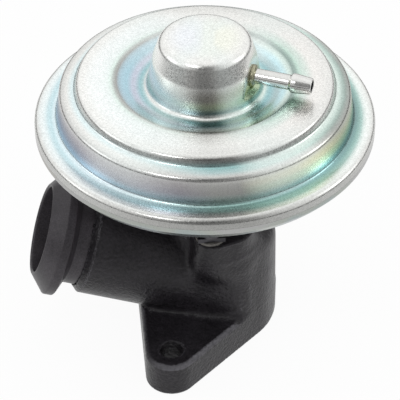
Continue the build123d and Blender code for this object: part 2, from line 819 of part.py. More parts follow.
def make_spring_locator():
    """Pressed ring on the cup: a floor for the spring and a collar inside its coils."""
    return pressed(
        [
            (locator_radius, locator_floor, 0),
            (locator_collar_radius, locator_floor, locator_bend),
            (locator_collar_radius, locator_floor + locator_collar_height, 0),
        ],
        -locator_sheet,
    ) + ring(locator_collar_radius, thread_hole, locator_bottom, locator_floor)


def make_nut_washer():
    """Washer under the stem's nut."""
    top = nut_washer_bottom + nut_washer_thickness
    return ring(thread_radius + nut_washer_width, thread_hole, nut_washer_bottom, top)


def make_stem_nut():
    """Hexagon nut that clamps the plates and the rubber on the stem's shoulder."""
    blank = extrude(RegularPolygon(nut_width / 2, 6, major_radius=False) - Circle(thread_hole), nut_height)
    return Pos(0, 0, nut_bottom) * blank


# ---------------------------------------------------------------- return spring
def make_return_spring():
    """Coil spring with its ends ground flat."""
    height = spring_top - spring_bottom
    pitch = (height + spring_wire_radius) / spring_turns
    path = Helix(pitch=pitch, height=pitch * spring_turns, radius=spring_mean_radius)
    section = Plane(origin=path @ 0, z_dir=path % 0) * Circle(spring_wire_radius)
    coil = Pos(0, 0, spring_bottom - spring_wire_radius / 2) * sweep(section, path=path, is_frenet=True)
    return coil & bar(2 * spring_mean_radius, spring_bottom, spring_top)


def make_spring_seat():
    """Pressed seat that centres the spring under the dome's ceiling."""
    inner = spring_seat_collar_radius - spring_seat_flange
    seat = ring(spring_seat_radius, inner, dome_ceiling - spring_seat_sheet, dome_ceiling)
    collar = ring(
        spring_seat_collar_radius,
        spring_seat_collar_radius - spring_seat_sheet,
        dome_ceiling - spring_seat_sheet - spring_seat_collar_height,
        dome_ceiling,
    )
    return seat + collar


pieces = {
    "valve_body": make_valve_body(),
    "inlet_adapter": make_inlet_adapter(),
    "valve_seat": make_valve_seat(),
    "stem_guide": make_stem_guide(),
    "stem_seal": make_stem_seal(),
    "seal_retainer": make_seal_retainer(),
    "bracket_gasket": make_bracket_gasket(),
    "standoff_bracket": make_standoff_bracket(),
    "lock_washers": make_lock_washers(),
    "bracket_screws": make_bracket_screws(),
    "housing_rivets": make_housing_rivets(),
    "lower_housing": make_lower_housing(),
    "upper_cover": make_upper_cover(),
    "vacuum_nipple": make_vacuum_nipple(),
    "nipple_collar": make_nipple_collar(),
    "spring_seat": make_spring_seat(),
    "return_spring": make_return_spring(),
    "diaphragm": make_diaphragm(),
    "valve_head": make_valve_head(),
    "valve_stem": make_valve_stem(),
    "diaphragm_plate": make_diaphragm_plate(),
    "diaphragm_cup": make_diaphragm_cup(),
    "spring_locator": make_spring_locator(),
    "nut_washer": make_nut_washer(),
    "stem_nut": make_stem_nut(),
}

for name, solid in pieces.items():
    shape = Compound(children=solid) if isinstance(solid, list) else solid
    export_step(shape, f"parts/{name}.step")
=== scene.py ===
"""Vacuum-lift exhaust gas recirculation valve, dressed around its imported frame.

The frame's own solids carry the hidden and the plain turned pieces. The pressed cover, the cast body,
the clamp adapter, the hose nipple with its brazed collar, the coil spring and the rubber diaphragm are
surfaces worked out here. Sizes are in millimetres, and every mesh is written in metres.
"""

import itertools
import logging
import math
from dataclasses import dataclass
from enum import Enum

import bpy
import numpy as np
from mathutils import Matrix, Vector


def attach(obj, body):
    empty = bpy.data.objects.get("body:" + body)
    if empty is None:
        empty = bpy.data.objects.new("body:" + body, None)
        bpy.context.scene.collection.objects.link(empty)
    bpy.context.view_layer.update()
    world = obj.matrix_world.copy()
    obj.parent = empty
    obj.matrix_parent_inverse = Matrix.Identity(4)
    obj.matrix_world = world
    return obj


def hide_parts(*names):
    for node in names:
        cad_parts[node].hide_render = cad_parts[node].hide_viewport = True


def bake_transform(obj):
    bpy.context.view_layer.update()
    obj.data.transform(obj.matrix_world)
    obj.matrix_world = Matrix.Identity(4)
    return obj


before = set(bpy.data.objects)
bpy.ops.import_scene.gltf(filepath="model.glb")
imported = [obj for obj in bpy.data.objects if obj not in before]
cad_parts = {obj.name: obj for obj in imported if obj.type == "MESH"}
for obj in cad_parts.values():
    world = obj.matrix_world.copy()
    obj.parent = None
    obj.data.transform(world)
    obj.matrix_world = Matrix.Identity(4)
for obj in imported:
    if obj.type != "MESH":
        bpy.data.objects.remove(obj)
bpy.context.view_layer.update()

log = logging.getLogger("egr_valve")

# Short names for type hints.
Array = np.ndarray
Pair = tuple[float, float]
Triple = tuple[float, float, float]
Colour = Triple

MM = 0.001
SMOOTH_ANGLE = math.radians(38.0)
LINE_SCALE = 0.5  # from the UV map's distance along a line, in 100 mm, to a colour ramp's 0 to 1
WHITE = (1.0, 1.0, 1.0, 1.0)
# Near-black painted shade inside the nipple's bore.
BORE_SHADE = (0.012, 0.012, 0.012)

# Axes shared by several pieces: heights in millimetres, angles in degrees.
NIPPLE_HEIGHT = 93.2
INLET_ANGLE = 201.0
INLET_TILT = 17.5
INLET_AXIS_HEIGHT = 19.0


class Body(Enum):
    """Bodies of the frame that a piece can ride on."""

    HOUSING = "housing"
    VALVE = "valve"


class Axis(Enum):
    """Directions that a turned piece's own axis can take in the frame."""

    UP = 0
    NIPPLE = 1
    INLET = 2


# ---------------------------------------------------------------- lines and meshes
def rounded_line(corners: list[Triple], step: float) -> Array:
    """Points along straight runs whose inner corners are arcs.

    At a corner the arc of radius b leaves each run at b * tan(half the turn), and its points stand at
    equal angles about the arc's centre. Runs are divided evenly.

    Args:
        corners: (radius, height, bend) of each corner in order; the end ones have no bend.
        step: longest distance between two points.

    Returns:
        Array of (radius, height) points.
    """
    points = [np.array([corners[0][:2]], float)]
    for before, here, after in zip(corners, corners[1:], corners[2:]):
        a, p, b = (np.array(c[:2], float) for c in (before, here, after))
        into, out = (p - a) / np.linalg.norm(p - a), (b - p) / np.linalg.norm(b - p)
        turn = math.atan2(into[0] * out[1] - into[1] * out[0], float(into @ out))
        if here[2] <= 0.0 or abs(turn) < 1e-6:
            points.append(p[None])
            continue
        reach = here[2] * math.tan(abs(turn) / 2)
        start = p - reach * into
        side = math.copysign(1.0, turn)
        centre = start + side * here[2] * np.array([-into[1], into[0]])
        count = max(3, math.ceil(here[2] * abs(turn) / step) + 1)
        swing = np.linspace(0.0, turn, count)[:, None]
        arm = start - centre
        points.append(centre + (arm * np.cos(swing) + np.array([-arm[1], arm[0]]) * np.sin(swing)))
    points.append(np.array([corners[-1][:2]], float))
    line = np.concatenate(points)
    runs = np.linalg.norm(np.diff(line, axis=0), axis=1)
    shares = [np.linspace(0.0, 1.0, max(1, math.ceil(run / step)), endpoint=False) for run in runs]
    filled = [line[i] + share[:, None] * (line[i + 1] - line[i]) for i, share in enumerate(shares)]
    return np.concatenate([*filled, line[-1:]])


def beside(line: Array, distance: float) -> Array:
    """Parallel line: each point moved along the line's right-hand normal.

    Args:
        line: (radius, height) points.
        distance: how far to the right, seen along the line.

    Returns:
        Array of moved points, kept at radius zero or more.
    """
    along = np.gradient(line, axis=0)
    along /= np.linalg.norm(along, axis=1)[:, None]
    moved = line + distance * np.stack([along[:, 1], -along[:, 0]], axis=1)
    moved[:, 0] = np.maximum(moved[:, 0], 0.0)
    return moved


def arc_lengths(line: Array) -> Array:
    """Distance of each point from the line's start, measured along the line."""
    return np.concatenate([[0.0], np.cumsum(np.linalg.norm(np.diff(line, axis=0), axis=1))])


def write_mesh(name: str, points: Array, quads: Array, triangles: Array | None = None) -> bpy.types.Mesh:
    """Mesh from whole arrays.

    Args:
        name: name of the mesh.
        points: vertices in millimetres.
        quads: four indices a row.
        triangles: three indices a row, or None.

    Returns:
        The mesh, smooth shaded, in metres.
    """
    triangles = np.zeros((0, 3), int) if triangles is None else triangles
    mesh = bpy.data.meshes.new(name)
    mesh.vertices.add(len(points))
    mesh.vertices.foreach_set("co", (points * MM).astype(np.float32).ravel())
    corners = np.concatenate([quads.ravel(), triangles.ravel()]).astype(np.int32)
    sizes = np.concatenate([np.full(len(quads), 4), np.full(len(triangles), 3)])
    mesh.loops.add(len(corners))
    mesh.loops.foreach_set("vertex_index", corners)
    mesh.polygons.add(len(sizes))
    mesh.polygons.foreach_set("loop_start", np.concatenate([[0], np.cumsum(sizes)[:-1]]).astype(np.int32))
    mesh.update(calc_edges=True)
    mesh.validate()
    mesh.shade_smooth()
    return mesh


def smooth(value: Array, start: float, end: float) -> Array:
    """Smooth step from 0 at the start to 1 at the end."""
    share = np.clip((value - start) / (end - start), 0.0, 1.0)
    return share * share * (3 - 2 * share)


def axis_frame(axis: Axis) -> tuple[Array, Array]:
    """Origin and the three directions (columns) of a turned piece's own axes."""
    if axis is Axis.NIPPLE:
        return np.array([0.0, 0.0, NIPPLE_HEIGHT]), np.array([[0.0, 0, 1], [0, 1, 0], [-1, 0, 0]])
    if axis is Axis.INLET:
        across, tilt = math.radians(INLET_ANGLE), math.radians(90.0 - INLET_TILT)
        turn = np.array([[math.cos(across), -math.sin(across), 0], [math.sin(across), math.cos(across), 0], [0, 0, 1]])
        lean = np.array([[math.cos(tilt), 0, math.sin(tilt)], [0, 1, 0], [-math.sin(tilt), 0, math.cos(tilt)]])
        return np.array([0.0, 0.0, INLET_AXIS_HEIGHT]), turn @ lean
    return np.zeros(3), np.eye(3)


def lathe(
    name: str, line: Array, segments: int, closed: bool = False, axis: Axis = Axis.UP, shape=None
) -> bpy.types.Mesh:
    """Surface of revolution: point (r, h) of the line at angle a stands at (r cos a, r sin a, h).

    Args:
        name: name of the mesh.
        line: (radius, height) points, outer side going up, so that the faces point outwards.
        segments: number of angles round the axis.
        closed: True where the line's last point joins its first.
        axis: direction that the piece's axis takes.
        shape: function of the (rows, segments, 3) points that presses a local form into them, or None.

    Returns:
        The mesh, with a UV map of (distance along the line in decimetres, turn).
    """
    turn = np.linspace(0.0, 2 * math.pi, segments, endpoint=False)
    rows = len(line)
    r, h = line[:, :1], line[:, 1:]
    grid = np.stack([r * np.cos(turn), r * np.sin(turn), h + 0 * turn], axis=-1)
    if shape is not None:
        grid = shape(grid)
    origin, directions = axis_frame(axis)
    points = (grid.reshape(-1, 3) @ directions.T) + origin
    low = np.arange(rows if closed else rows - 1)[:, None]
    high = (low + 1) % rows
    here = np.arange(segments)[None, :]
    there = (here + 1) % segments
    index = np.arange(rows * segments).reshape(rows, segments)
    poles = np.flatnonzero(line[:, 0] < 1e-6)
    index[poles] = index[poles][:, :1]
    faces = np.stack([index[low, here], index[low, there], index[high, there], index[high, here]], axis=-1)
    distance = arc_lengths(np.concatenate([line, line[:1]]) if closed else line) / 100.0
    u = np.stack([distance[low], distance[low], distance[low + 1], distance[low + 1]], axis=-1)
    v = np.stack([here, here + 1, here + 1, here], axis=-1) / segments
    faces, u, v = (np.broadcast_to(values, faces.shape).reshape(-1, 4) for values in (faces, u, v))
    at_start, at_end = faces[:, 0] == faces[:, 1], faces[:, 2] == faces[:, 3]
    whole = ~(at_start | at_end)

    def corners(values: Array) -> Array:
        """Values at the corners of the whole quads, then at those of the fans round both poles."""
        chosen = (values[whole], values[at_start][:, [0, 2, 3]], values[at_end][:, [0, 1, 2]])
        return np.concatenate([part.ravel() for part in chosen])

    used, packed = np.unique(corners(faces), return_inverse=True)
    quads, fans = np.split(packed, [4 * whole.sum()])
    mesh = write_mesh(name, points[used], quads.reshape(-1, 4), fans.reshape(-1, 3))
    layer = mesh.uv_layers.new(name="along")
    layer.data.foreach_set("uv", np.stack([corners(u), corners(v)], axis=1).ravel())
    mesh.set_sharp_from_angle(angle=SMOOTH_ANGLE)
    return mesh


def add_object(name: str, data: bpy.types.ID) -> bpy.types.Object:
    """New object of the scene with the given mesh, camera or lamp."""
    made = bpy.data.objects.new(name, data)
    bpy.context.scene.collection.objects.link(made)
    return made


def dress(mesh: bpy.types.Mesh, finish, slot: str, body: Body | None, *replaced: str) -> bpy.types.Object:
    """Object for a new piece, with its finish, its body and the nodes it stands for.

    Args:
        mesh: the piece's mesh, whose name the object takes.
        finish: finish whose material the piece gets.
        slot: material slot of the record; not used.
        body: body that the piece rides on, or None for one that rides on no body.
        replaced: names of the nodes that the piece replaces.

    Returns:
        The object.
    """
    piece = add_object(mesh.name, mesh)
    mesh.materials.append(finish.material())
    if body is not None:
        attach(piece, body.value)
    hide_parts(*replaced)
    log.info("%s: %d faces, for %s", piece.name, len(mesh.polygons), ", ".join(replaced))
    return piece


# ---------------------------------------------------------------- node graphs
class Nodes:
    """Short calls that fill one node tree."""

    def __init__(self, owner: bpy.types.ID):
        """Start with an empty tree.

        Args:
            owner: material or world that the tree belongs to.
        """
        owner.use_nodes = True
        self.owner, self.tree = owner, owner.node_tree
        self.tree.nodes.clear()

    def feed(self, socket, value) -> None:
        """Give a socket a constant, or link it where the value is a socket."""
        if isinstance(value, bpy.types.NodeSocket):
            self.tree.links.new(value, socket)
        else:
            socket.default_value = value

    def node(self, kind: str, inputs: dict | None = None, operation: str = ""):
        """One shader node.

        Args:
            kind: type of the node, without "ShaderNode".
            inputs: constant or socket for each input, by the input's name or number.
            operation: what a Math node works out.

        Returns:
            The node.
        """
        made = self.tree.nodes.new("ShaderNode" + kind)
        if operation:
            made.operation = operation
        for key, value in (inputs or {}).items():
            self.feed(made.inputs[key], value)
        return made

    def math(self, operation: str, *values):
        """One Math node."""
        return self.node("Math", dict(enumerate(values)), operation).outputs[0]

    def spread(self, value, low: float, high: float, to_low: float, to_high: float):
        """Value carried from one range to another, held at both ends."""
        names = ("Value", "From Min", "From Max", "To Min", "To Max")
        return self.node("MapRange", dict(zip(names, (value, low, high, to_low, to_high)))).outputs["Result"]

    def attribute(self, name: str):
        """Outputs of an attribute kept at the mesh's vertices."""
        made = self.node("Attribute")
        made.attribute_name = name
        return made.outputs


class Graph(Nodes):
    """Nodes of one material, round a Principled shader."""

    def __init__(self, name: str):
        """Start an empty material with its shader and output.

        Args:
            name: name of the material.
        """
        super().__init__(bpy.data.materials.new(name))
        self.shader = self.node("BsdfPrincipled")
        self.node("OutputMaterial", {"Surface": self.shader.outputs["BSDF"]})
        self.place = self.node("TexCoord").outputs

    def parts(self, vector):
        """The three parts of a vector."""
        return self.node("SeparateXYZ", {0: vector}).outputs

    def length(self, first, second):
        """Length of a vector with two parts."""
        return self.math("SQRT", self.math("MULTIPLY_ADD", first, first, self.math("MULTIPLY", second, second)))

    def noise(self, scale: float, detail: float, roughness: float):
        """Noise from 0 to 1 on Object coordinates, with a scale in features per metre."""
        inputs = {"Vector": self.place["Object"], "Scale": scale, "Detail": detail, "Roughness": roughness}
        return self.node("TexNoise", inputs).outputs["Fac"]

    def ramp(self, value, stops: list[tuple[float, Colour]]):
        """Colour ramp through (place, colour) stops."""
        made = self.node("ValToRGB", {"Fac": value})
        ramp = made.color_ramp
        ramp.interpolation = "EASE"
        while len(ramp.elements) < len(stops):
            ramp.elements.new(0.5)
        for element, (place, colour) in zip(ramp.elements, stops):
            element.position = place
            element.color = (*colour, 1.0)
        return made.outputs["Color"]

    def mix(self, share, first, second, blend: str = "MIX"):
        """Mix of two colours."""
        made = self.node("Mix")
        made.data_type, made.blend_type = "RGBA", blend
        for number, value in ((0, share), (6, first), (7, second)):
            self.feed(made.inputs[number], (*value, 1.0) if isinstance(value, tuple) else value)
        return made.outputs[2]

    def shaded(self, colour, fine, reach: float, low: float, high: float):
        """Colour made darker and lighter by fine noise.

        Args:
            colour: the colour.
            fine: the noise.
            reach: how far from its middle the noise still counts.
            low: share of the colour at the dark end.
            high: share of the colour at the light end.

        Returns:
            The shaded colour.
        """
        shade = self.spread(fine, 0.5 - reach, 0.5 + reach, low, high)
        return self.mix(1.0, colour, self.node("CombineColor", dict.fromkeys(range(3), shade)).outputs[0], "MULTIPLY")

    def rough(self, fine, middle: float, less: float, more: float):
        """Roughness that follows fine noise from below the middle value to above it."""
        return self.spread(fine, 0.2, 0.8, middle - less, middle + more)

    def finish(self, colour, rough, *layers: tuple, metallic: float = 1.0) -> bpy.types.Material:
        """Feed the shader.

        Args:
            colour: base colour.
            rough: roughness.
            layers: bumps, each (height, depth in millimetres), one on top of the other.
            metallic: 1 for metal, and 0 for a coat, rubber or board.

        Returns:
            The finished material.
        """
        normal = None
        for height, depth in layers:
            bump = self.node("Bump", {"Strength": 1.0, "Distance": depth * MM, "Height": height})
            if normal is not None:
                self.feed(bump.inputs["Normal"], normal)
            normal = bump.outputs["Normal"]
        fed = {"Base Color": colour, "Roughness": rough, "Metallic": metallic, "Normal": normal}
        for name, value in fed.items():
            self.feed(self.shader.inputs[name], value)
        return self.owner


# ---------------------------------------------------------------- finishes
# Colours of a clear film over one turn of its thickness.
FILM_CYCLE = [
    (0.00, (0.80, 0.80, 0.78)),
    (0.18, (0.78, 0.74, 0.56)),
    (0.34, (0.72, 0.56, 0.66)),
    (0.50, (0.48, 0.58, 0.78)),
    (0.66, (0.44, 0.74, 0.72)),
    (0.82, (0.66, 0.80, 0.62)),
    (1.00, (0.80, 0.80, 0.78)),
]


@dataclass(frozen=True)
class Zinc:
    """Bright zinc plate with a thin clear film, which tints it in bands."""

    name: str
    brightness: float
    tint: float
    roughness: float = 0.30
    grain: float = 2600.0
    grain_depth: float = 0.006
    cloud: float = 38.0
    cloud_drift: float = 1.9
    bands_per_metre: float = 55.0
    waves: float = 300.0
    wave_depth: float = 0.010

    def material(self) -> bpy.types.Material:
        """Zinc whose film is drawn by height and slow noise."""
        g = Graph(self.name)
        drift = g.math("MULTIPLY", g.noise(self.cloud, 2.0, 0.55), self.cloud_drift)
        height = g.parts(g.place["Object"])[2]
        film = g.math("FRACT", g.math("MULTIPLY_ADD", height, self.bands_per_metre, drift))
        body = g.mix(self.tint, (self.brightness,) * 3, g.ramp(film, FILM_CYCLE))
        fine = g.noise(self.grain, 2.0, 0.6)
        bumps = (fine, self.grain_depth), (g.noise(self.waves, 3.0, 0.6), self.wave_depth)
        return g.finish(g.shaded(body, fine, 0.25, 0.90, 1.05), g.rough(fine, self.roughness, 0.05, 0.07), *bumps)


@dataclass(frozen=True)
class BandedZinc:
    """Bright zinc plate on the pressed cover, whose clear film is tinted in rings along its line.

    Each band is (place, front, left, right). Its colours are partly the film's tints: the film is thicker on
    the cover's left and thinner on its right, so the rings turn from grey in front to violet and blue on one
    side, straw and green on the other. They are partly painted reflections: the rings are darker in front and
    lighter at the sides, with dark and light rings at the bends. A turn is the sine of the angle to the
    cover's right, from -1 at its left to 1 at its right. Two gleams, painted highlights, stand between the
    front and the sides, and the step's wall has a painted dark reflection at the far right.
    """

    name: str
    bands: tuple[tuple, ...]
    roughness: float = 0.27
    grain: float = 1900.0
    grain_depth: float = 0.016
    waves: float = 420.0
    wave_depth: float = 0.008
    cloud: float = 30.0
    cloud_drift: float = 0.008
    rightwards: Pair = (0.951, 0.309)
    turn_cloud: float = 24.0
    turn_drift: float = 0.9
    least_radius: float = 0.004
    left_turns: Pair = (-0.02, -0.55)
    right_turns: Pair = (0.18, 0.66)
    gleam: Colour = (0.82, 0.88, 0.86)
    gleam_rise: Pair = (0.22, 0.44)
    gleam_fall: Pair = (0.58, 0.85)
    gleam_share: float = 0.45
    gleam_end: Pair = (0.0422, 0.0434)
    gleam_rest: float = 0.15
    wall: Colour = (0.18, 0.20, 0.18)
    wall_radius: float = 0.0415
    wall_reach: Pair = (0.0015, 0.0035)
    wall_turns: Pair = (0.74, 0.94)
    wall_share: float = 0.55

    def material(self) -> bpy.types.Material:
        """Three ramps along the cover's line, mixed by the direction from the axis and slow noise."""
        g = Graph(self.name)
        along = g.math("MULTIPLY", g.parts(g.place["UV"])[0], LINE_SCALE)
        slow = g.math("SUBTRACT", g.noise(self.cloud, 2.0, 0.5), 0.5)
        drift = g.math("MULTIPLY_ADD", slow, self.cloud_drift, along)
        front, left, right = (g.ramp(drift, [(band[0], band[side]) for band in self.bands]) for side in (1, 2, 3))
        x, y, _ = g.parts(g.place["Object"])
        radius = g.length(x, y)
        sideways = g.math("MULTIPLY_ADD", x, self.rightwards[0], g.math("MULTIPLY", y, self.rightwards[1]))
        turn = g.math("DIVIDE", sideways, g.math("MAXIMUM", radius, self.least_radius))
        slow = g.math("SUBTRACT", g.noise(self.turn_cloud, 1.0, 0.5), 0.5)
        turn = g.math("MULTIPLY_ADD", slow, self.turn_drift, turn)
        # Film tints and painted reflections: the front, left and right ramps mixed by the side facing the camera's
        # right.
        body = g.mix(g.spread(turn, *self.left_turns, 0.0, 1.0), front, left)
        body = g.mix(g.spread(turn, *self.right_turns, 0.0, 1.0), body, right)
        # Painted highlights: a pale gleam between the front and each side, fading beyond the step's radius.
        side = g.math("ABSOLUTE", turn)
        rise = g.spread(side, *self.gleam_rise, 0.0, self.gleam_share)
        gleam = g.math("MULTIPLY", rise, g.spread(side, *self.gleam_fall, 1.0, 0.0))
        gleam = g.math("MULTIPLY", gleam, g.spread(radius, *self.gleam_end, 1.0, self.gleam_rest))
        body = g.mix(gleam, body, self.gleam)
        # Painted dark reflection on the step's wall, on the cover's far right.
        off_wall = g.math("ABSOLUTE", g.math("SUBTRACT", radius, self.wall_radius))
        wall = g.spread(off_wall, *self.wall_reach, self.wall_share, 0.0)
        body = g.mix(g.math("MULTIPLY", g.spread(turn, *self.wall_turns, 0.0, 1.0), wall), body, self.wall)
        fine = g.noise(self.grain, 2.0, 0.65)
        bumps = (fine, self.grain_depth), (g.noise(self.waves, 3.0, 0.6), self.wave_depth)
        return g.finish(g.shaded(body, fine, 0.22, 0.82, 1.12), g.rough(fine, self.roughness, 0.05, 0.08), *bumps)


@dataclass(frozen=True)
class CastCoat:
    """Black heat-resistant coat on a sand-cast or turned surface.

    A mesh with the attribute "bend" gets a painted highlight on its rounded edges, in patches.
    """

    name: str
    colour: Colour = (0.0140, 0.0124, 0.0150)
    roughness: float = 0.34
    gloss: float = 0.30
    pit_depth: float = 0.30
    grain: float = 1000.0
    mottle: float = 120.0
    mottle_shares: Pair = (0.82, 1.25)
    # Painted highlight colour for the rounded edges.
    painted_edge_highlight: Colour = (0.125, 0.121, 0.135)
    highlight_bends: Pair = (0.40, 0.85)
    sharp_bends: Pair = (0.85, 1.10)
    ragged: float = 0.6
    highlight_cloud: float = 45.0
    cloud_edges: Pair = (0.40, 0.62)
    highlight_shares: Pair = (0.15, 0.95)
    waves: float = 300.0
    wave_share: float = 0.4

    def material(self) -> bpy.types.Material:
        """Dark coat with fine pits and slow mottling, with a painted highlight in patches where the surface is rounded.
        """
        g = Graph(self.name)
        mottle = g.noise(self.mottle, 4.0, 0.6)
        fine = g.noise(self.grain, 3.0, 0.6)
        dark, light = (tuple(part * share for part in self.colour) for share in self.mottle_shares)
        coat = g.shaded(g.ramp(mottle, [(0.3, dark), (0.7, light)]), fine, 0.20, 0.62, 1.45)
        # Painted highlight: a lighter colour on rounded edges, found by the bend attribute, in patches of slow noise.
        bend = g.attribute("bend")["Fac"]
        ragged = g.math("MULTIPLY_ADD", g.math("SUBTRACT", fine, 0.5), self.ragged, bend)
        painted_edge_highlight = g.spread(ragged, *self.highlight_bends, 0.0, 1.0)
        painted_edge_highlight = g.math("MULTIPLY", painted_edge_highlight, g.spread(bend, *self.sharp_bends, 1.0, 0.0))
        patches = g.spread(g.noise(self.highlight_cloud, 2.0, 0.5), *self.cloud_edges, *self.highlight_shares)
        painted_edge_highlight = g.math("MULTIPLY", painted_edge_highlight, patches)
        rough = g.spread(mottle, 0.3, 0.7, self.roughness - 0.05, self.roughness + 0.06)
        g.feed(g.shader.inputs["Specular IOR Level"], self.gloss)
        bumps = (fine, self.pit_depth), (g.noise(self.waves, 2.0, 0.5), self.pit_depth * self.wave_share)
        return g.finish(g.mix(painted_edge_highlight, coat, self.painted_edge_highlight), rough, *bumps, metallic=0.0)


@dataclass(frozen=True)
class Metal:
    """Plain metal with fine turned or drawn grain and a slow change of tone."""

    name: str
    dark: Colour
    light: Colour
    roughness: float
    grain: float = 1800.0
    grain_depth: float = 0.006
    tone: float = 140.0
    dark_bore: float = 0.0  # radius in mm round the nipple's axis, inside which the metal is bare and painted near-black as shade
    bore_edge: float = 0.08

    def material(self) -> bpy.types.Material:
        """Metal between its two tones."""
        g = Graph(self.name)
        fine = g.noise(self.grain, 2.0, 0.6)
        tone = g.ramp(g.noise(self.tone, 3.0, 0.6), [(0.32, self.dark), (0.68, self.light)])
        # Painted shade: inside the bore round the nipple's axis the tone turns near-black.
        if self.dark_bore:
            _, y, z = g.parts(g.place["Object"])
            off_axis = g.length(y, g.math("SUBTRACT", z, NIPPLE_HEIGHT * MM))
            edge = (self.dark_bore - self.bore_edge) * MM, self.dark_bore * MM
            tone = g.mix(g.spread(off_axis, *edge, 1.0, 0.0), tone, BORE_SHADE)
        rough = g.rough(fine, self.roughness, 0.06, 0.08)
        return g.finish(g.shaded(tone, fine, 0.25, 0.90, 1.06), rough, (fine, self.grain_depth))


@dataclass(frozen=True)
class Filler:
    """Rubber, graphite or gasket board: a dull body with its own grain."""

    name: str
    dark: Colour
    light: Colour
    roughness: float
    grain: float = 900.0
    grain_depth: float = 0.03

    def material(self) -> bpy.types.Material:
        """Dull body between its two tones."""
        g = Graph(self.name)
        fine = g.noise(self.grain, 4.0, 0.7)
        tone = g.ramp(fine, [(0.3, self.dark), (0.7, self.light)])
        return g.finish(tone, g.rough(fine, self.roughness, 0.1, 0.1), (fine, self.grain_depth), metallic=0.0)


